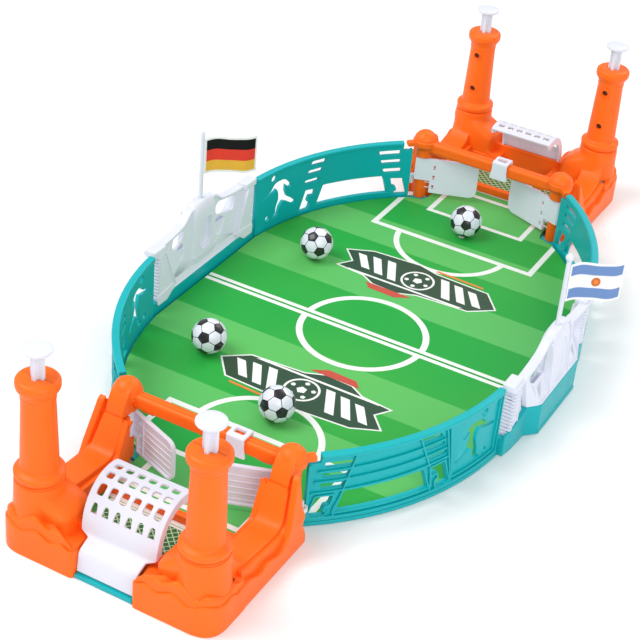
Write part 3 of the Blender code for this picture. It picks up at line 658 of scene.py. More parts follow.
def net_lattice():
    """Diagonal printed netting over the dark ground."""
    pitch_step, width = 4.6, 0.42
    strips = []
    reach = 60
    mid = (NET_LOW + NET_HIGH) / 2
    for lean in (1, -1):
        for k in range(-13, 14):
            x = k * pitch_step
            strips.append([(x - lean * reach - width, mid - reach), (x - lean * reach + width, mid - reach),
                           (x + lean * reach + width, mid + reach), (x + lean * reach - width, mid + reach)])
    whole = combined(film(strips[0], level=1), [film(strip, level=1) for strip in strips[1:]])
    inside = plate(oblong(-NET_X + 1.9, NET_LOW + 1.9, NET_X - 1.9, NET_HIGH - 1.9, 0.6), 1, 9, edge=0.1)
    return combined(whole, [inside], "INTERSECT")


BADGE = [(-56, 84), (-40, 92), (-6, 94.5), (8, 90.5), (46, 89), (58, 74),
         (44, 62.5), (8, 60), (-4, 54.5), (-22, 55.5), (-32, 61.5), (-52, 63.5), (-46, 73)]


def leaning_bar(x, y, half_width, half_height):
    lean = 5
    return [(x - half_width + lean, y - half_height), (x + half_width + lean, y - half_height),
            (x + half_width - lean, y + half_height), (x - half_width - lean, y + half_height)]


def round_patch(x, y, radius, count=40):
    return [(x + radius * math.cos(math.tau * i / count), y + radius * math.sin(math.tau * i / count))
            for i in range(count)]


def badge_pieces():
    """Plain badge: a dark banner with a pale outline, a row of leaning bars and a ball in the middle."""
    banner = film(BADGE, level=1)
    outline = film(grown(BADGE, 1.1), [grown(BADGE, -0.1)], 1)
    bars = []
    for x, half_height in ((-40, 7.5), (-29.5, 9), (-19, 10.5), (21, 10.5), (31.5, 9), (42, 7.5)):
        bars.append(film(leaning_bar(x, 77, 3.1, half_height), level=2))
    ball_ring = film(round_patch(1, 76, 11.5), [round_patch(1, 76, 10)], 2)
    bars.append(film([(-46, 61.6), (36, 61.6), (40, 63.4), (-44.5, 63.4)], level=2))
    patches = [film(round_patch(1, 76, 3.4, 5), level=2)]
    for k in range(5):
        turn = math.tau * (k + 0.5) / 5 + 0.3
        spot = round_patch(1 + 7.4 * math.cos(turn), 76 + 7.4 * math.sin(turn), 1.7, 5)
        patches.append(film(spot, level=2))
    white = combined(bars[0], bars[1:] + [ball_ring] + patches)
    red = film([(-22, 49.2), (-3, 48.4), (7, 54.6), (-27, 55)], level=2)
    orange = film([(6, 93.6), (42, 92.4), (40.5, 94.2), (7, 95.6)], level=2)
    return {"banner": (banner, "badge_dark"), "outline": (outline, "line"), "bars": (white, "line"),
            "flash": (red, "badge_red"), "edge": (orange, "badge_orange")}


# ---------------------------------------------------------------- curved walls

def along(angle):
    return math.radians(angle) * ARC_R


def on_wall(points):
    return [(along(angle), z) for angle, z in points]


def kicking_figure():
    """Cut-out of a player kicking a ball: body and limbs, head, and ball."""
    body = [(12.5, 37.4), (14.6, 37.8), (15.9, 36.2), (17.4, 31.4), (17.1, 29.6), (16.4, 30.2),
            (15.5, 33.2), (15.5, 27.6), (16.1, 23.2), (17.6, 20.4), (19.2, 16), (18.2, 15.2),
            (16.4, 18.8), (14.9, 20.8), (13.9, 17), (13.3, 10.4), (11.7, 9.9), (11.8, 11.5), (12.6, 12.8),
            (12.7, 17.6), (13.4, 23.6), (13.3, 28.4), (12.7, 32.4), (11.9, 30.6), (8.1, 27.4), (7.5, 28.8),
            (10.8, 32.4), (11.6, 35.8)]
    rings = [softened(on_wall(body), 0.9, steps=2)]
    for angle, z, radius in ((11.6, 41, 2.7), (10, 11.8, 2.1)):
        rings.append([(along(angle) + radius * math.cos(math.tau * i / 20),
                       z + radius * math.sin(math.tau * i / 20)) for i in range(20)])
    return rings


SLOT_ROWS = ((40.3, 43.6, 38.2, 41.5), (34, 37, 31.4, 34.3), (27, 29.8, 24, 27.3))


def wall_slots():
    rings = []
    for row, (low, high, goal_low, goal_high) in enumerate(SLOT_ROWS):
        lean = 0.85 * row
        rings.append(on_wall([(22.9 - lean, low), (27.2 - lean, low),
                              (27.8 - lean, high), (23.5 - lean, high)]))
        rings.append(on_wall([(41.5 + lean, goal_low), (46.6 + 0.3 * row, goal_low),
                              (46.6 + 0.3 * row, goal_high), (40.9 + lean, goal_high)]))
    return [softened(ring, 0.5, steps=2) for ring in rings]


def big_windows():
    near_stand = [(20.3, 6.2), (23.2, 6.2), (23.6, 10.2), (22.7, 12.4), (23.3, 16.8), (24.6, 16.2),
                  (25.1, 21), (22, 21.9)]
    long_one = [(25.4, 8), (44.4, 8), (42.7, 21.4), (27, 22.4)]
    near_goal = [(46.4, 6.2), (49, 6.2), (47.8, 18.8), (44.9, 19.1), (45.4, 13.4), (46.3, 12.8),
                 (46.7, 9), (46, 8)]
    return [softened(on_wall(ring), 0.6, steps=2) for ring in (near_stand, long_one, near_goal)]


def rib(a0, z0, a1, z1, width=1.1, out=2.5):
    """Straight raised rib on the wall's outer face, from one point to another."""
    start, stop = Vector((along(a0), z0)), Vector((along(a1), z1))
    side = (stop - start).normalized().orthogonal() * width / 2
    return plate([start - side, stop - side, stop + side, start + side], 0.6, out, "xz", edge=0.3, steps=1)


def wall(flip_x, flip_y):
    start, stop, rim = along(WALL_START), along(WALL_END), along(RIM_END)
    low = TRAY_TOP + GAP
    windows = big_windows()
    outline = softened([(start, low), (stop, low), (stop, 41.6), (rim, 41.6), (rim, WALL_TOP),
                        (start, WALL_TOP)], 0.5, steps=2)
    panel = plate(outline, -1.2, 1.2, "xz", kicking_figure() + wall_slots() + windows, edge=0.35)
    depth_in, depth_out = WALL_IN - ARC_R, WALL_OUT - ARC_R
    parts = []
    for stop_at, z0, z1, inside, edge in ((rim, 44.7, WALL_TOP, depth_in, 0.8), (stop, low, 5.4, -1.2, 0.6)):
        strip = [(start, z0), (stop_at, z0), (stop_at, z1), (start, z1)]
        parts.append(plate(strip, inside, depth_out, "xz", edge=edge))
    ribs = ((WALL_START + 0.3, 5, WALL_START + 0.3, 45, 1.4), (WALL_END - 0.3, 5, WALL_END - 0.3, 41.4, 1.4),
            (7.3, 8, 7, 45), (7.3, 8, 19.6, 8), (19.6, 8, 21.4, 45), (19.7, 5, 22.3, 45),
            (28.3, 45, 25.5, 22.8), (25.2, 22.8, 24.8, 5), (41, 45, 44.6, 5),
            (22.4, 38.7, 47.9, 36.3), (21.8, 31.9, 48.4, 29.4), (21.2, 25, 48.9, 22))
    parts += [rib(*ends) for ends in ribs]
    for window in windows:
        parts.append(plate(grown(window, 1.5), 0.6, 2.3, "xz", [grown(window, 0.35)], edge=0.3, steps=1))
    flat = combined(panel, parts)
    bends = [along(WALL_START + (WALL_END - WALL_START) * i / 44) for i in range(1, 44)]
    flat = cut_flat(flat, [Vector((1, 0, 0)) * bend * MM for bend in bends])
    cx, cy = ARC_CENTRE
    for vert in flat.vertices:
        angle = vert.co.x / (ARC_R * MM)
        radius = ARC_R * MM + vert.co.y
        vert.co.x = -cx * MM + radius * math.cos(angle)
        vert.co.y = cy * MM + radius * math.sin(angle)
    return flipped(flat, flip_x, flip_y)


# ---------------------------------------------------------------- grandstands and flags

def side_box():
    quarter = [(132.4, 28.5), (126.4, 35), (125.4, 52), (124, 60.6), (122.6, 60.6)]
    plan = quarter + [(x, -y) for x, y in reversed(quarter)]
    outer = plate(softened(plan, 0.8, steps=3), 0, BOX_TOP, edge=0.7)
    slope = [(37, BOX_TOP), (62, 13.5), (62, 30), (37, 30)]
    ends = [plate([(side * y, z) for y, z in slope], 110, 140, "yz", edge=0.05, steps=0)
            for side in (1, -1)]
    outer = cut(outer, ends)
    sill = block((117.9, -60.6, 0), (124, 60.6, SILL_TOP), 0.6)
    lip = plate(softened([(130, -28), (132.9, -28), (132.9, 28), (130, 28)], 0.5), 0, 2.4, edge=0.4)
    return combined(outer, [sill, lip])


def stair_strip(side):
    """Strip at the end of a stand: a wedge with saw teeth towards the wall and a thin raised rim."""
    outer = []
    for k in range(13):
        z = 44.6 - 2.45 * k
        outer += [(57.3, z), (57.3, z - 1.3), (53.5, z - 3.1)]
    line = [(49, 44.8)] + outer + [(57.3, 12.6), (38.4, 12.6), (36.5, 16.4)]
    wedge = plate([(side * y, z) for y, z in line], 117.2, 123.6, "yz", edge=0.2, steps=1)
    foot_line = softened([(38.6, 14.4), (46.5, 9), (56.6, 9), (57.2, 16), (40, 18)], 0.8)
    foot = plate([(side * y, z) for y, z in foot_line], 116.7, 117.8, "yz", edge=0.3)
    rim_line = [(36.3, 16.2), (48.8, 44.8), (49.8, 44.8), (37.4, 16.2)]
    rim = plate([(side * y, z) for y, z in rim_line], 116.4, 118.6, "yz", edge=0.3)
    return [wedge, foot, rim]


def scallops(side):
    """Outer face of the same strip: a stack of soft ridges beside a thin edge."""
    y0, y1 = sorted((side * 46.4, side * 53.4))
    parts = [plate([(y0, 14.6), (y1, 14.6), (y1, 45), (y0, 45)], 120.6, 123.4, "yz", edge=0.3)]
    for k in range(12):
        z = 43.3 - 2.4 * k
        dip = 0.9
        ridge = [(47.4, z + dip), (52.4, z - dip), (57.4, z + dip),
                 (57.4, z + dip - 1.5), (52.4, z - dip - 1.7), (47.4, z + dip - 1.5)]
        ring = softened([(side * y, height) for y, height in ridge], [0.5, 3, 0.5, 0.5, 3, 0.5])
        parts.append(plate(ring, 122.6, 124.9, "yz", edge=0.55))
    y0, y1 = sorted((side * 46.4, side * 47.3))
    parts.append(plate([(121, 15), (125.2, 16.6), (124.9, 45), (121, 45)], y0, y1, "xz", edge=0.2))
    return parts


def sheared(mesh, rate, foot):
    """Lean a shape outwards from the height of its foot."""
    lean = Matrix.Identity(4)
    lean[0][2] = rate
    lean[0][3] = -rate * foot * MM
    return cleaned(mesh, lean)


def stand_panel(low):
    """Leaning front panel with two openings on each side, its top rail and its sloping skirt."""
    half = STAND_HALF
    top = softened([(-half, 48), (-46, 47.6), (-34, 48.6), (-22, 50.8), (-14.6, 56.8), (14.6, 56.8),
                    (22, 50.8), (34, 48.6), (46, 47.6), (half, 48)], 3, closed=False)
    end = 53
    crest = [place for place in top[::-1] if abs(place.x) < end]
    outline = [Vector((-end, low)), Vector((end, low)), Vector((end, 47))] + crest + [Vector((-end, 47))]
    holes = [
        softened([(-15.6, 46.4), (-19, 48.4), (-28.1, 47), (-41, 44.6), (-36.5, 35), (-15.6, 40.6)], 2.2),
        softened([(-14.9, 38.2), (-19, 38.2), (-26.8, 34), (-21, 24.6), (-14.9, 25.6)], 2.2),
        softened([(36, 40.4), (34, 45.8), (24.2, 47.6), (21.6, 45.4), (24.9, 40.4), (33.6, 36.6)], 2.2),
        softened([(31, 35), (26.4, 38.8), (22.8, 36.4), (23, 29), (26.4, 25.8)], 2.2),
    ]
    face = plate(outline, 119.2, 121, "yz", holes, edge=0.45)
    rail = plate(top + [(y, z - 2.2) for y, z in top[::-1]], 117.9, 123.8, "yz", edge=0.7)
    leaning = sheared(combined(face, [rail]), STAND_LEAN, low)
    skirt = softened([(117.9, low), (118.5, low + 0.8), (120.4, 20.4), (121.6, 22), (121.6, low)],
                     [0.2, 0.6, 5, 0.5, 0.2])
    return combined(leaning, [plate(skirt, -44, 44, "xz", edge=0.3)])


def stand():
    """Grandstand of the right side: panel, pylon with its slot, sloping outer face, ridged ends."""
    low = SILL_TOP + GAP
    foot = BOX_TOP + GAP
    base = softened([(122.9, -35.6), (126, -34.9), (132, -28.3),
                     (132, 28.3), (126, 34.9), (122.9, 35.6)], 0.5)
    slope = softened([(121, foot), (131, foot), (126, 34), (121.6, 34)], [0.2, 0.3, 0.8, 0.3])
    parts = [plate(base, foot, foot + 1, edge=0.3), plate(slope, -30.6, 30.6, "xz", edge=0.3)]
    pylon = loft(smooth_sections([(foot, 118.2, 131.4, -14.4, 14.4, 7), (34, 118.4, 130.8, -13.8, 13.8, 6),
                                  (48, 118.6, 129.8, -13.2, 13.2, 5), (54, 119, 129.2, -12.4, 12.4, 4),
                                  (58, 120.4, 128.2, -10, 10, 3), (59.5, 122.2, 126.8, -6, 6, 2.4)], 5))
    pylon_foot = loft([section(low + 0.4, 119.6, 122.4, -12.6, 12.6, 4),
                       section(foot + 1, 118.2, 122.4, -14.4, 14.4, 7)])
    parts += [pylon, pylon_foot]
    for side in (1, -1):
        bottom = [(122.4, 29.6), (131.4, 29.6), (125.7, 36.2), (122.4, 36.2)]
        crown = [(122.8, 41.8), (125.2, 41.8), (125, 44), (122.8, 44)]
        rings = [[(x, side * y, foot) for x, y in bottom], [(x, side * y, 46.8) for x, y in crown]]
        rounded = {"width": 0.4 * MM, "segments": 2}
        parts.append(baked(loft(rings), [("BEVEL", rounded)]))
        y0, y1 = sorted((side * 48, side * STAND_HALF))
        parts.append(plate(oblong(y0, 44.6, y1, 49.5, 0.9), 117.4, 125, "yz", edge=0.8))
        parts += stair_strip(side) + scallops(side)
        for y, top_line in ((18.6, (126.8, 34.4)), (13.4, (129.2, 54.4))):
            ridge = softened([(125, foot), (131.7, foot), top_line, (125, top_line[1])], [0.2, 0.4, 1, 0.5])
            y0, y1 = sorted((side * y, side * (y + 1.3)))
            parts.append(plate(ridge, y0, y1, "xz", edge=0.45))
    whole = combined(stand_panel(low), parts)
    teardrop = softened([(-8, 23.5), (8, 23.5), (9.6, 34), (4.5, 52), (-4.5, 52), (-9.6, 34)], 6)
    dish = sheared(plate(teardrop, 129.6, 136, "yz", edge=1.1, steps=3), -0.05, foot)
    slot = plate(softened([(-6.6, 24.4), (6.6, 24.4), (6.2, 46.6), (-6.2, 46.6)], [6, 6, 1.6, 1.6]),
                 110, 121.9, "yz", edge=0.5)
    cuts = [dish, slot, rod(1.75, 42, 61, 24, (FLAG_X, 0))]
    hollow = softened([(121.8, 23), (128.8, 23), (125, 32.6), (125, 40), (121.8, 40)], 0.4)
    for side in (1, -1):
        y0, y1 = sorted((side * 15.4, side * 28.8))
        cuts.append(plate(hollow, y0, y1, "xz", edge=0.2))
        triangle = softened([(side * 28, 31), (side * 21.4, 32.2), (side * 26.6, 23.4)], 0.6)
        cuts.append(sheared(plate(triangle, 130.4, 134, "yz", edge=0.3), -0.4, foot))
    return cut(whole, cuts)


def pole(ball):
    if ball:
        turns = [math.pi * i / 12 for i in range(11)]
        knob = [(2.5 * math.sin(turn), 105 + 2.5 * math.cos(turn)) for turn in turns]
        knob.append((1.4, 102.2))
    else:
        knob = [(0, 107), (0.8, 106.9), (1.3, 106.3), (1.4, 105.2)]
    return turned(knob + [(1.4, 60.6), (1.55, 59.8), (1.4, 58.6), (1.3, 43.4), (0.9, 42.8), (0, 42.8)], 24)


FLAG_LONG, FLAG_TALL, FLAG_THICK = 34, 25, 0.3


def flag(heading):
    """Printed sheet with a slow ripple, its inner edge close to the pole."""
    columns, rows = 40, 20
    shape = bmesh.new()
    layer = shape.loops.layers.uv.new("UVMap")
    grid = []
    for i in range(columns + 1):
        u = i / columns
        line = []
        for j in range(rows + 1):
            v = j / rows
            out = 1.75 + FLAG_LONG * u
            side = 1.25 * math.sin(math.tau * (u + 0.06 * v))
            side += 0.35 * math.sin(math.tau * (2.3 * u - 0.3 * v))
            rise = 0.4 * math.sin(math.tau * u * 0.92)
            line.append(shape.verts.new((out * MM, side * MM, (FLAG_TALL * v + rise) * MM)))
        grid.append(line)
    for i in range(columns):
        for j in range(rows):
            face = shape.faces.new((grid[i][j], grid[i + 1][j], grid[i + 1][j + 1], grid[i][j + 1]))
            for loop, (a, b) in zip(face.loops, ((i, j), (i + 1, j), (i + 1, j + 1), (i, j + 1))):
                loop[layer].uv = (a / columns, b / rows)
    solid = {"thickness": FLAG_THICK * MM, "offset": 0}
    mesh = baked(closed_up(shape), [("SOLIDIFY", solid)])
    mesh.transform(turn_z(heading))
    return mesh


# ---------------------------------------------------------------- goal end

def wavy_layer(plan, knots, floor_z, edge=0.9):
    """Block whose upper edge swings from one (x, y, z) knot round its plan to the next."""
    ring = []
    for i, here in enumerate(plan):
        before = plan[i - 1]
        steps = max(1, round((here - before).length / RING_STEP))
        ring += [before.lerp(here, (k + 1) / steps) for k in range(steps)]
    count = len(ring)
    marks = []
    for x, y, z in knots:
        nearest = min(range(count), key=lambda i: (ring[i] - Vector((x, y))).length)
        marks.append((nearest, z))
    marks.sort()
    marks = [(marks[-1][0] - count, marks[-1][1])] + marks + [(marks[0][0] + count, marks[0][1])]
    heights = []
    for i in range(count):
        k = max(j for j in range(len(marks) - 1) if marks[j][0] <= i)
        part = (i - marks[k][0]) / max(1, marks[k + 1][0] - marks[k][0])
        part = part * part * (3 - 2 * part)
        heights.append(marks[k][1] + (marks[k + 1][1] - marks[k][1]) * part)
    rings = [[(p.x, p.y, floor_z) for p in ring]]
    cx, cy = TOWER
    for inset, drop in WAVY_EDGE:
        moved = [p + (Vector(TOWER) - p).normalized() * inset * edge for p in ring]
        rings.append([(p.x, p.y, z - drop * edge) for p, z in zip(moved, heights)])
    inner = [(p.x + (cx - p.x) * 0.35, p.y + (cy - p.y) * 0.35, z + 0.3) for p, z in zip(ring, heights)]
    return loft(rings + [inner])


LOWER_WAVE = [(18, 250, 14), (31, 248.8, 16), (45, 248.8, 16), (66.5, 250, 16.2), (66.5, 257.4, 15.7),
              (66.5, 264.5, 18.6), (66, 271, 17.6), (61, 280, 19.4), (51, 281.5, 16.2), (41, 281.5, 20.2),
              (31, 281.5, 16.5), (24, 281.5, 18.8), (18, 281.5, 16.8), (18, 274, 14.5), (18, 266, 16),
              (18, 258, 13.6)]
UPPER_WAVE = [(19.5, 250, 15.6), (33, 250, 20.5), (45, 250, 22.4), (65.3, 252, 19.6), (65.3, 259, 22.2),
              (65, 266, 21), (61, 278, 24.6), (55, 280.3, 21.4), (43, 280.3, 27.6), (32, 280.3, 23.2),
              (25, 280.3, 24), (19, 277, 17.2), (19, 269, 16.4), (19, 262, 16.4)]


def tower_foot():
    """Two layers of rock with wavy edges, a lump, the neck under the column and its shoulder."""
    plan = softened([(18, 248.8), (66.5, 248.8), (66.5, 269.5), (65, 275.5), (60.5, 280), (54.5, 281.5),
                     (18, 281.5)], [2.6, 2.6, 4, 4, 4, 4, 2.6])
    lower = wavy_layer(plan, LOWER_WAVE, 0)
    upper = wavy_layer(grown(plan, -1.1), UPPER_WAVE, 1, 2)
    neck = lathe([(0, 42.7), (12.2, 42.7), (12.7, 42.2), (13.4, 40.6), (13.7, 30), (14.6, 20),
                  (14.6, 8), (0, 8)], [0, 0.3, 0.4, 1, 4, 3, 0, 0], 72, TOWER)
    knot = loft(smooth_sections([(10, 27.2, 44, 252.5, 277.5, 4), (20, 28.6, 44, 253.6, 276.5, 3.6),
                                 (24.4, 30.6, 43, 255.6, 274.4, 3), (26.2, 34, 42, 259, 271, 2.4)], 3))
    cx, cy = TOWER
    shoulder = loft(smooth_sections([(8, 27.6, 59, 249.6, 275, 8), (22, 27.8, 58.8, 249.6, 275, 7),
                                     (29, 28.2, 57.8, 249.8, 276, 5),
                                     (36, cx - SHOULDER_R, cx + SHOULDER_R, 251.2, 277, 2.4),
                                     (41.8, cx - SHOULDER_R, cx + SHOULDER_R,
                                      cy - SHOULDER_R, cy + SHOULDER_R, 2)], 4))
    return combined(lower, [upper, neck, knot, shoulder])


def outward(mesh):
    """Lean the outer side of a beam inwards above the foot's height."""
    for vert in mesh.vertices:
        rise = vert.co.z / MM - FOOT_HEIGHT
        if vert.co.x > BEAM_SIDE * MM and rise > 0:
            vert.co.x -= rise * BEAM_LEAN * MM
    return mesh


def goal_beams():
    """Side beam with its buttress under the knob, the band along it and the rocky outer layer."""
    main_face = softened([(191, 0), (256, 0), (256, 38), (254, 35), (252, 31), (249, 26.8),
                          (245, 23.8), (240, 22), (232, 20.9), (222, 20.2), (213, 19.2), (209, 19.6),
                          (206.5, 21.2), (204.5, 24.2), (202.5, 28.3), (200, 33.5), (197.6, 38.2),
                          (197.6, 36), (191, 36)],
                         [1, 1, 0, 1, 2, 2, 2, 3, 4, 5, 4, 2, 1.5, 2, 3, 3, 0.3, 0.2, 0.6], steps=3)
    band = softened([(191, 0), (250, 0), (250, 22), (240, 20), (222, 18.2), (209, 17.4),
                     (205, 19.4), (202.8, 23), (200.6, 27.5), (198.2, 32.5), (195.8, 37.5), (194, 42),
                     (193.5, 44), (193.5, 36), (191, 36)],
                    [1, 1, 0, 3, 4, 2.5, 1.5, 2, 2, 2, 2, 1, 0.2, 0.4, 0.6], steps=3)
    rocky = softened([(189, 0), (189, 6), (193.6, 15), (190.6, 19.5), (193.6, 26), (193.8, 46),
                      (196.5, 44.5), (199.5, 37), (203, 28.5), (206, 21), (209.5, 14.2), (214, 11.4),
                      (220, 11.2), (225, 13.6), (230, 14.4), (234, 12.2), (238, 12.4), (244, 15.4),
                      (250, 16.4), (256, 16.2), (256, 0)],
                     [1, 3, 2.5, 2.5, 4, 0.8, 1, 2, 3, 3, 2.5, 2.5, 2.5, 2.5, 2.5, 2, 2, 3, 3, 0, 0], steps=3)
    inner = softened([(197.6, 38), (201, 31), (204, 24.5), (206, 20), (208.5, 17.4), (222, 17.4),
                      (248.9, 19.5), (248.9, 4.6), (203, 4.6), (203, 12), (200, 22), (197, 29),
                      (195.5, 33), (193.5, 36), (197.6, 36)],
                     [0.3, 2, 2, 1.5, 2, 3, 0, 0, 0.8, 3, 3, 2, 1, 0.5, 0.2], steps=3)
    beams = [plate(main_face, 45, 60.6, "yz", edge=0.9), plate(band, 59, 63.4, "yz", edge=0.8),
             plate(rocky, 62.4, 66.5, "yz", edge=0.9)]
    beams = [outward(beam) for beam in beams]
    return combined(beams[0], beams[1:] + [plate(inner, 41.6, 45.6, "yz", edge=0.8)])


def goal_half():
    """Right half of the goal moulding: rock foot, tower neck, sloping beam, pivot boss."""
    boss = rod(4.2, TRAY_TOP + GAP, 17, 36, POST)
    web = block((47.6, 184.5, TRAY_TOP + GAP), (56.4, 192, 16.9), 0.6)
    whole = combined(tower_foot(), [goal_beams(), web, boss])
    cuts = [
        cutter((47, 193, -1), (61.6, 257, 17.2)),
        cutter((46.4, 253.5, -1), (61.6, 274.2, 21.4)),
        cutter((46.4, 257.6, 10), (53.8, 274.2, 31.6)),
        rod(7.2, 30, 50, 36, TOWER),
        cutter((57.6, 188, 12), (61.6, 195, 16.9)),
        rod(2.1, 9.5, 20, 24, POST),
    ]
    return cut(whole, cuts)


def goal():
    right = goal_half()
    back_wall = block((-34, 261, TRAY_TOP + GAP), (34, 264, 21.5), 0.7)
    sill = block((-45.6, 214, PITCH_TOP + GAP), (45.6, 218.5, 9.6), 0.8)
    return combined(right, [back_wall, sill, flipped(right, flip_x=True)])


def crossbar():
    """Bar over the goal mouth; at each end a domed knob with its peg, an arm, a band, a tab and a spur."""
    outline = oblong(180.7, 39.6, 188.3, 48.4, 2.6, 8)
    bar = plate(outline, -47, 47, "yz", edge=0.5)
    for y in (183.2, 185.9):
        groove = plate(oblong(y - 0.35, 48.05, y + 0.35, 49.5, 0.2), -45.5, 45.5, "yz", edge=0.1)
        bar = cut(bar, [groove])
    knob = lathe([(0, 55), (3.2, 54.9), (6.6, 52.4), (8, 49.6), (8, 48.6), (8.7, 48.2), (8.7, 44.4),
                  (7.4, 43.2), (6, 41.6), (6, 35.6), (1.8, 35.6), (1.8, 10.5), (0, 10.5)],
                 [0, 1.5, 2, 1.2, 0.2, 0.4, 0.8, 0.8, 0.8, 0.5, 0, 0.3, 0], 56, POST)
    arm = plate(softened([(186, 36.5), (197.3, 36.5), (197.3, 39.4), (195.4, 44.4), (193, 49),
                          (190.4, 51.8), (186, 52.6)], [0.5, 0.4, 1, 2, 2, 1.5, 0.5]),
                46.1, 57.7, "yz", edge=0.9)
    band = block((47, 179.9, 40.4), (50.6, 189, 47.6), 0.8)
    tab = cleaned(plate(oblong(0, -2.6, 13.5, 2.6, 1), 44.3, 47.6, edge=0.6), at_point(*POST) @ turn_z(-47))
    spur = block((33, 182, 38.6), (41, 187, 42), 0.6)
    return combined(bar, both_sides([knob, arm, band, tab, spur]))


def slider():
    """Clip that slides on the crossbar, with a window in its top and flared legs."""
    outline = softened([(179.1, 37.4), (180.3, 37.4), (180.3, 48.8), (188.7, 48.8),
                        (188.7, 37.4), (189.9, 37.4), (189.9, 50.6), (179.1, 50.6)],
                       [0.4, 0.4, 0, 0, 0.4, 0.4, 1.6, 1.6])
    clip = plate(outline, -5.5, 5.5, "yz", edge=0.35)
    flare = softened([(-6.6, 37.4), (-3.4, 37.4), (-3, 44), (-5.6, 44)], 0.8)
    legs = both_sides([plate(flare, back, front, "xz", edge=0.3)
                       for back, front in ((179.2, 180.3), (188.7, 189.8))])
    clip = combined(clip, legs)
    return cut(clip, [plate(oblong(-3.4, 182.4, 3.4, 186.6, 0.8), 47, 52, edge=0.1)])


COVER_LINE = [(235, 45), (241, 46.6), (248.5, 46.2), (256, 42.6), (261.6, 36.4), (264.8, 28.5),
              (265.9, 19.2), (275.8, 14.9), (277.4, 3.4)]
COVER_CORNERS = [0, 5, 6, 7, 7, 7, 2.2, 2.6, 0]


def cover_path():
    line = softened(COVER_LINE, COVER_CORNERS, closed=False, steps=8)
    lengths = [0]
    for before, after in zip(line, line[1:]):
        lengths.append(lengths[-1] + (after - before).length)
    return line, lengths


def net_cover():
    """Net cover shaped flat with its openings, then bent along its side line, with a rounded side lip."""
    line, lengths = cover_path()
    total = lengths[-1]
    shelf = next(length for place, length in zip(line, lengths) if place.y < 20.4)
    outline = softened([(0, -23), (shelf, -23), (shelf + 3, -17.6), (total, -17.6), (total, 17.6),
                        (shelf + 3, 17.6), (shelf, 23), (0, 23)], [1.5, 1.5, 0.8, 0.6, 0.6, 0.8, 1.5, 1.5])
    rows = ((4.6, 8.6, 1.4), (11.8, 15.8, 1.4), (19.2, 25.6, 1.6), (29.6, 35.4, 0.4))
    holes = []
    for row, (start, stop, radius) in enumerate(rows):
        for column in range(6):
            x = -17.5 + 7 * column
            if row == 3:
                ring = softened([(start, x - 1.3), (start, x + 1.3), (stop, x + 2.1), (stop, x - 2.1)],
                                [1.3, 1.3, 0.4, 0.4])
            else:
                ring = oblong(start, x - 2.2, stop, x + 2.2, radius)
            holes.append(ring)
    flat = plate(outline, -0.8, 0.8, holes=holes, edge=0.35)
    flat = cut_flat(flat, [(length * MM, 0, 0) for length in lengths[1:-1]])
    for vert in flat.vertices:
        travel = min(max(vert.co.x / MM, 0), total)
        k = max(i for i, length in enumerate(lengths[:-1]) if length <= travel + 1e-6)
        ahead = (line[k + 1] - line[k]).normalized()
        before = (line[k] - line[max(k - 1, 0)]).normalized() if k else ahead
        at_knot = abs(travel - lengths[k]) < 1e-3
        way = (ahead + before).normalized() if at_knot and k else ahead
        spot = line[k] + ahead * (travel - lengths[k])
        across = vert.co.z / MM
        vert.co = Vector((vert.co.y / MM, spot.x - way.y * across, spot.y + way.x * across)) * MM
    shell = cleaned(flat)
    outer = [place for place, length in zip(line, lengths) if length <= shelf]
    inner = [Vector((241, 40.4)), Vector((235.6, 42))]
    for place, ahead in zip(outer, outer[1:]):
        if place.x > 243:
            way = (ahead - place).normalized()
            inner.insert(0, place + Vector((way.y, -way.x)) * 4.2)
    lips = both_sides([plate(outer + inner, 21.4, 22.9, "yz", edge=0.35)])
    return combined(shell, lips)


# ---------------------------------------------------------------- towers

def plus_outline(rib_half, reach, radius=0.4):
    a, b = rib_half, reach
    points = [(a, a), (a, b), (-a, b), (-a, a), (-b, a), (-b, -a),
              (-a, -a), (-a, -b), (a, -b), (a, -a), (b, -a), (b, a)]
    return softened(points, radius, steps=2)


def screw_turn(z):
    return at_point(0, 0, z) @ Matrix.Rotation(math.radians(90), 4, "X")


def column():
    """Whole tower column with rounded cap and collar, screw bosses, and its bores."""
    whole = lathe([(0, CAP_TOP), (10, CAP_TOP), (11.6, 102.6), (11.6, 98.6), (9.9, 96.6), (9.6, 95.4),
                   (9, 94.2), (9.25, 92.4), (8.9, 91.6), (10.2, 49.6), (10.9, 48.8), (13.5, 47.4),
                   (13.5, 44.8), (12.7, COLLAR_Z + 0.4), (12.2, COLLAR_Z), (0, COLLAR_Z)],
                  [0, 1.6, 1.2, 1.4, 0.8, 0.5, 0.4, 0.3, 0.3, 0.6, 0.8, 1, 1, 0.4, 0.2, 0], 72)
    bosses = [cleaned(turned([(0, 10.2), (2.7, 10.2), (3, 9.9), (3.1, 8), (0, 8)], 32), screw_turn(z))
              for z in SCREW_Z]
    whole = combined(whole, bosses)
    cuts = [rod(6.4, 50, 96.8, 40), rod(5, 41, 51, 40), plate(plus_outline(1.5, 4.3), 95, 106, edge=0.05)]
    for z in SCREW_Z:
        cuts.append(cleaned(rod(2.1, 8.2, 14, 24), screw_turn(z)))
        cuts.append(cleaned(rod(1.15, 6.9, 14, 16), screw_turn(z)))
    return cut(whole, cuts)


def column_half(whole, front):
    """One half of a column, cut where the halves meet."""
    far = 30
    low, high = ((-far, 0.15, 0), (far, far, 200)) if front else ((-far, -far, 0), (far, -0.15, 200))
    return cut(whole.copy(), [cutter(low, high)])


def screw():
    """Pan head with a cross recess, on a short shank."""
    head = lathe([(0, 9.3), (1, 9.25), (1.7, 8.9), (1.8, 8.4), (0.85, 8.3), (0.85, 7.2), (0, 7.2)],
                 [0, 0.3, 0.3, 0.1, 0.1, 0.1, 0], 32)
    return cut(head, [plate(plus_outline(0.22, 1.1, 0.05), 8.8, 10, edge=0.02)])


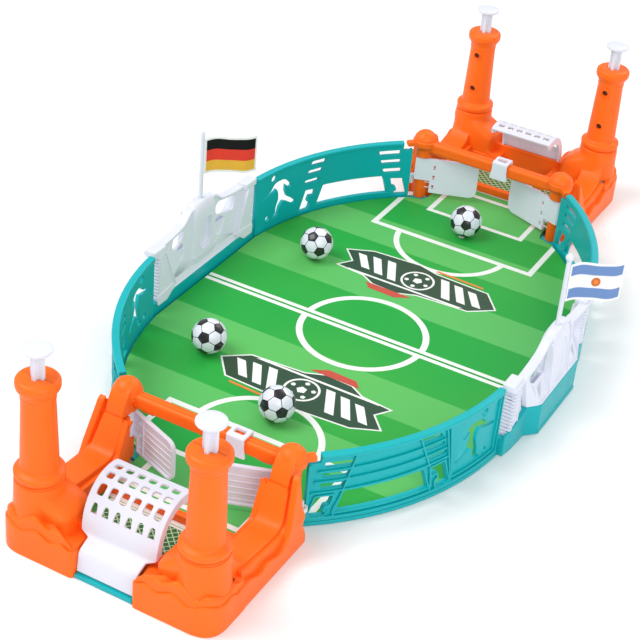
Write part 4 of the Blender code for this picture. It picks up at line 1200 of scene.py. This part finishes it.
def plunger():
    """Disc head on a cross-shaped stem, a stop flange, and the wedge that works the link."""
    travel = 2 * CRANK_R * math.sin(math.radians(FLIPPER_SWING / 2))
    ramp = travel / PRESS
    stem = plate(plus_outline(1.1, 3.95, 0.35), 45, 120, edge=0.2)
    head = lathe([(0, HEAD_TOP), (5.6, HEAD_TOP - 0.25), (7.9, HEAD_TOP - 1.4), (7.9, 119.8),
                  (7, 119), (4.4, 118.4), (3.4, 117.2), (0, 117.2)], [0, 2, 1, 0.5, 0.5, 0.8, 0.4, 0], 56)
    flange = lathe([(0, 96.5), (5.8, 96.5), (5.8, 94.2), (0, 94.2)], [0, 0.3, 0.3, 0], 40)
    tip, shoulder = 28, 44
    rear = -3 + ramp * (shoulder - tip)
    wedge = plate([(-3.9, tip), (-3, tip), (rear, shoulder), (rear, 47), (-3.9, 47)], -2.4, 2.4, "yz",
                  edge=0.25)
    return combined(stem, [head, flange, wedge])


def spring():
    turns, per_turn, rise = 9, 24, 42.5
    curve = bpy.data.curves.new("coil", "CURVE")
    curve.dimensions = "3D"
    curve.bevel_depth = SPRING_WIRE * MM
    curve.bevel_resolution = 2
    curve.use_fill_caps = True
    count = turns * per_turn + 1
    spline = curve.splines.new("POLY")
    spline.points.add(count - 1)
    for i, point in enumerate(spline.points):
        turn = math.tau * i / per_turn
        part = i / (count - 1)
        eased = part - 0.045 * math.sin(math.tau * part)
        height = SPRING_SEAT + SPRING_WIRE + rise * eased
        point.co = (SPRING_R * math.cos(turn) * MM, SPRING_R * math.sin(turn) * MM, height * MM, 1)
    return cleaned(baked(curve))


def crank_offset():
    angle = math.radians(-FLIPPER_SWING / 2)
    return CRANK_R * math.cos(angle), CRANK_R * math.sin(angle)


def flipper():
    """Right-hand flipper about its pivot: smooth front, ribbed back, hinge barrel and crank pin."""
    free, hinge, low, high = -40.7, -6.4, 8, 34.8
    outline = softened([(5, 17.4), (5, high), (free, high), (free, low), (hinge, low), (hinge, 17.4)],
                       [0.4, 0.8, 6.5, 6.5, 0.8, 0.4], steps=8)
    slots = [oblong(-9.8, z, -8.3, z + 3.2, 0.3) for z in (11, 18.8, 26.6)]
    front = plate(outline, -4.2, -2.9, "xz", slots, edge=0.3)
    wide = 1.5
    inner = softened([(3.5, 18.9), (3.5, high - wide), (free + wide, high - wide), (free + wide, low + wide),
                      (hinge - wide, low + wide), (hinge - wide, 18.9)], [0.4, 0.4, 5, 5, 0.4, 0.4], steps=8)
    rim = plate(outline, -3.2, -1.7, "xz", [inner], edge=0.25)
    ribs = []
    for k in range(6):
        z = low + 3.4 + 4 * k
        ribs.append(plate([(free + 2, z), (-3, z), (-3, z + 0.6), (free + 2, z + 0.6)], -3.1, -2.5, "xz",
                          edge=0.15, steps=1))
    spine = plate([(-12.6, low + 0.8), (-11.6, low + 0.8), (-11.6, high - 0.8), (-12.6, high - 0.8)],
                  -3.1, -2, "xz", edge=0.2)
    barrel_line = softened([(0, 35.2), (4.2, 35.2), (4.2, 30.6), (3.8, 30.2), (3.8, 29.4), (4.2, 29),
                            (4.2, 23.6), (3.8, 23.2), (3.8, 22.4), (4.2, 22), (4.2, 17.4), (0, 17.4)],
                           [0, 0.4, 0.1, 0.1, 0.1, 0.1, 0.1, 0.1, 0.1, 0.1, 0.4, 0], closed=False, steps=2)
    barrel = turned(barrel_line, 40)
    body = combined(front, [rim, spine, barrel] + ribs)
    body = cut(body, [rod(2.3, 10, 40, 28)])
    body = cleaned(body, turn_z(-FLIPPER_REST))
    x, y = crank_offset()
    arm = cleaned(block((3, -1.1, 17.6), (CRANK_R + 1, 1.1, 19.4), 0.3), turn_z(-FLIPPER_SWING / 2))
    pin = rod(1, 12.5, 18.5, 20, (x, y))
    return combined(body, [arm, pin])


# ---------------------------------------------------------------- balls

def ball(turn):
    """Twelve black and twenty white panels with a seam sunk round each."""
    shape = bmesh.new()
    bmesh.ops.create_icosphere(shape, subdivisions=1, radius=1)
    bmesh.ops.bevel(shape, geom=list(shape.verts), offset=100 / 3, offset_type="PERCENT", affect="VERTICES",
                    segments=1)
    sunk = shape.verts.layers.float.new("sunk")
    for face in shape.faces:
        face.material_index = 1 if len(face.verts) == 5 else 0
    for vert in shape.verts:
        vert[sunk] = 1
    panels = list(shape.faces)
    seam_width, seam_depth = 0.02, 0.035          # shares of the radius
    rims = bmesh.ops.inset_individual(shape, faces=panels, thickness=seam_width)["faces"]
    for face in rims:
        face.material_index = 1
    for face in panels:
        for vert in face.verts:
            vert[sunk] = 0
    bmesh.ops.poke(shape, faces=panels)
    for _ in range(3):
        bmesh.ops.subdivide_edges(shape, edges=list(shape.edges), cuts=1, use_grid_fill=True)
    for vert in shape.verts:
        vert.co = vert.co.normalized() * (1 - seam_depth * vert[sunk]) * BALL_R * MM
    mesh = closed_up(shape)
    mesh.materials.append(LOOKS["ball_white"])
    mesh.materials.append(LOOKS["ball_black"])
    mesh.transform(turn.to_matrix().to_4x4())
    return mesh


# ---------------------------------------------------------------- assembly

def build_pitch():
    layers = {"lines": (pitch_lines(), "line"), "net_ground": (net_ground(), "net_dark"),
              "net_frame": (net_frame(), "line"), "net_lattice": (net_lattice(), "net_line")}
    layers.update({f"badge_{name}": made for name, made in badge_pieces().items()})
    for name, end in ENDS:
        stand_for(f"base_tray_{name}", at_end(tray(end < 0), end), "teal")
        stand_for(f"pitch_board_{name}", at_end(board(), end), "turf")
        for part, (mesh, look) in layers.items():
            free_piece(f"print_{part}_{name}", at_end(mesh.copy(), end), look, "frame")


def build_walls():
    for name, end in ENDS:
        for x_name, x_sign in SIDES:
            stand_for(f"arena_wall_{name}_{x_name}", wall(x_sign < 0, end < 0), "teal", 32)


def build_stands():
    for x_name, x_sign in SIDES:
        half_turn = turn_z(90.0 - 90.0 * x_sign)
        place = at_point(x_sign * FLAG_X, 0.0)
        stand_for(f"side_box_{x_name}", cleaned(side_box(), half_turn), "teal")
        stand_for(f"grandstand_{x_name}", cleaned(stand(), half_turn), "white")
        stand_for(f"flag_pole_{x_name}", cleaned(pole(x_sign > 0), place), "white")
        cloth = flag(FLAG_HEADING[x_name])
        cloth.transform(place @ at_point(0.0, 0.0, span(f"flag_{x_name}")[0].z))
        sheet = stand_for(f"flag_{x_name}", cloth, f"flag_{x_name}", 60)


def build_goals():
    moulding, bar, cover, clip = goal(), crossbar(), net_cover(), slider()
    for name, end in ENDS:
        stand_for(f"goal_body_{name}", at_end(moulding.copy(), end), "orange")
        stand_for(f"crossbar_{name}", at_end(bar.copy(), end), "orange")
        stand_for(f"net_cover_{name}", at_end(cover.copy(), end), "white")
        x = middle(f"score_slider_{name}").x
        stand_for(f"score_slider_{name}", cleaned(at_end(clip.copy(), end), at_point(x, 0.0)), "white")


def build_towers():
    """A piece made for the far right corner serves the near left one by half a turn."""
    whole = column()
    halves = {"front": column_half(whole, True), "back": column_half(whole, False)}
    screw_mesh, stem, coil, plate_mesh = screw(), plunger(), spring(), flipper()
    for name, end in ENDS:
        for side in (1, -1):
            corner = f"{name}_{'right' if side * end > 0 else 'left'}"
            tower = at_point(side * TOWER[0], TOWER[1])
            for half, mesh in halves.items():
                stand_for(f"column_{half}_{corner}", at_end(cleaned(mesh.copy(), tower), end), "orange", 30)
            for level, z in zip(("upper", "lower"), SCREW_Z):
                turned_screw = cleaned(screw_mesh.copy(), tower @ screw_turn(z))
                stand_for(f"screw_{level}_{corner}", at_end(turned_screw, end), "screw")
            stand_for(f"plunger_{corner}", at_end(cleaned(stem.copy(), tower), end), "white")
            coil_piece = stand_for(f"spring_{corner}", at_end(cleaned(coil.copy(), tower), end), "spring", 60)
            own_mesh(coil_piece)
            paddle = flipped(plate_mesh, side < 0)
            paddle = cleaned(paddle, at_point(side * POST[0], POST[1]))
            stand_for(f"flipper_{corner}", at_end(paddle, end), "white")
            link = frame["nodes"][f"drive_link_{corner}"]
            link.data.materials.clear()
            link.data.materials.append(LOOKS["link"])


def build_balls():
    angles = ((0.35, 0.1, 0.5), (1.1, 0.4, 0.0), (0.2, 0.9, 0.3), (0.7, 0.3, 1.2))
    for number, turn in enumerate(map(Euler, angles), start=1):
        place = middle(f"ball_{number}")
        mesh = ball(turn)
        mesh.transform(at_point(*place))
        stand_for(f"ball_{number}", mesh, None, 50)


def build_studio():
    floor = bpy.data.meshes.new("floor")
    reach = 6.0
    floor.from_pydata([(-reach, -reach, 0), (reach, -reach, 0), (reach, reach, 0), (-reach, reach, 0)], [],
                      [(0, 1, 2, 3)])
    look, tree, shader, place = new_look("floor_paint", 0.7)
    patch = noise(tree, place, 3.0, 2.0)
    greys = [(grey, grey, grey, 1.0) for grey in (0.90, 0.92)]
    feed(tree, shader.inputs["Base Color"], tint(tree, patch, *greys))
    floor.materials.append(look)
    ground = linked("floor", floor)
    ground.location.z = -0.2 * MM
    world = bpy.data.worlds.new("studio")
    world.use_nodes = True
    world.node_tree.nodes["Background"].inputs["Color"].default_value = (0.96, 0.98, 1.0, 1.0)
    world.node_tree.nodes["Background"].inputs["Strength"].default_value = 0.62
    bpy.context.scene.world = world
    lamps = (("key", (-0.75, -0.55, 1.35), 0.9, 15.0), ("fill", (1.05, -0.95, 0.85), 1.0, 11.0),
             ("back", (0.25, 1.2, 1.0), 0.9, 6.0))
    for name, place, size, power in lamps:
        lamp = bpy.data.lights.new(name, "AREA")
        lamp.size = size
        lamp.energy = power
        holder = linked(name, lamp)
        holder.location = place
        holder.rotation_mode = "QUATERNION"
        holder.rotation_quaternion = (-Vector(place)).to_track_quat("-Z", "Y")
    bpy.context.scene.view_settings.view_transform = "Standard"


def build_camera():
    camera = bpy.data.cameras.new("camera")
    camera.lens = 93.45
    camera.sensor_width = 36.0
    camera.clip_end = 50.0
    holder = linked("camera", camera)
    right, up, back = (0.86934, 0.48817, 0.07700), (-0.32611, 0.44958, 0.83158), (0.37134, -0.74804, 0.55004)
    turn = Matrix((right, up, back)).transposed().to_4x4()
    holder.matrix_world = Matrix.Translation((0.3633, -0.7938, 0.5853)) @ turn
    bpy.context.scene.camera = holder


ENDS = (("near", -1), ("far", 1))
SIDES = (("left", -1), ("right", 1))

build_camera()
build_studio()
build_pitch()
build_walls()
build_stands()
build_goals()
build_towers()
build_balls()
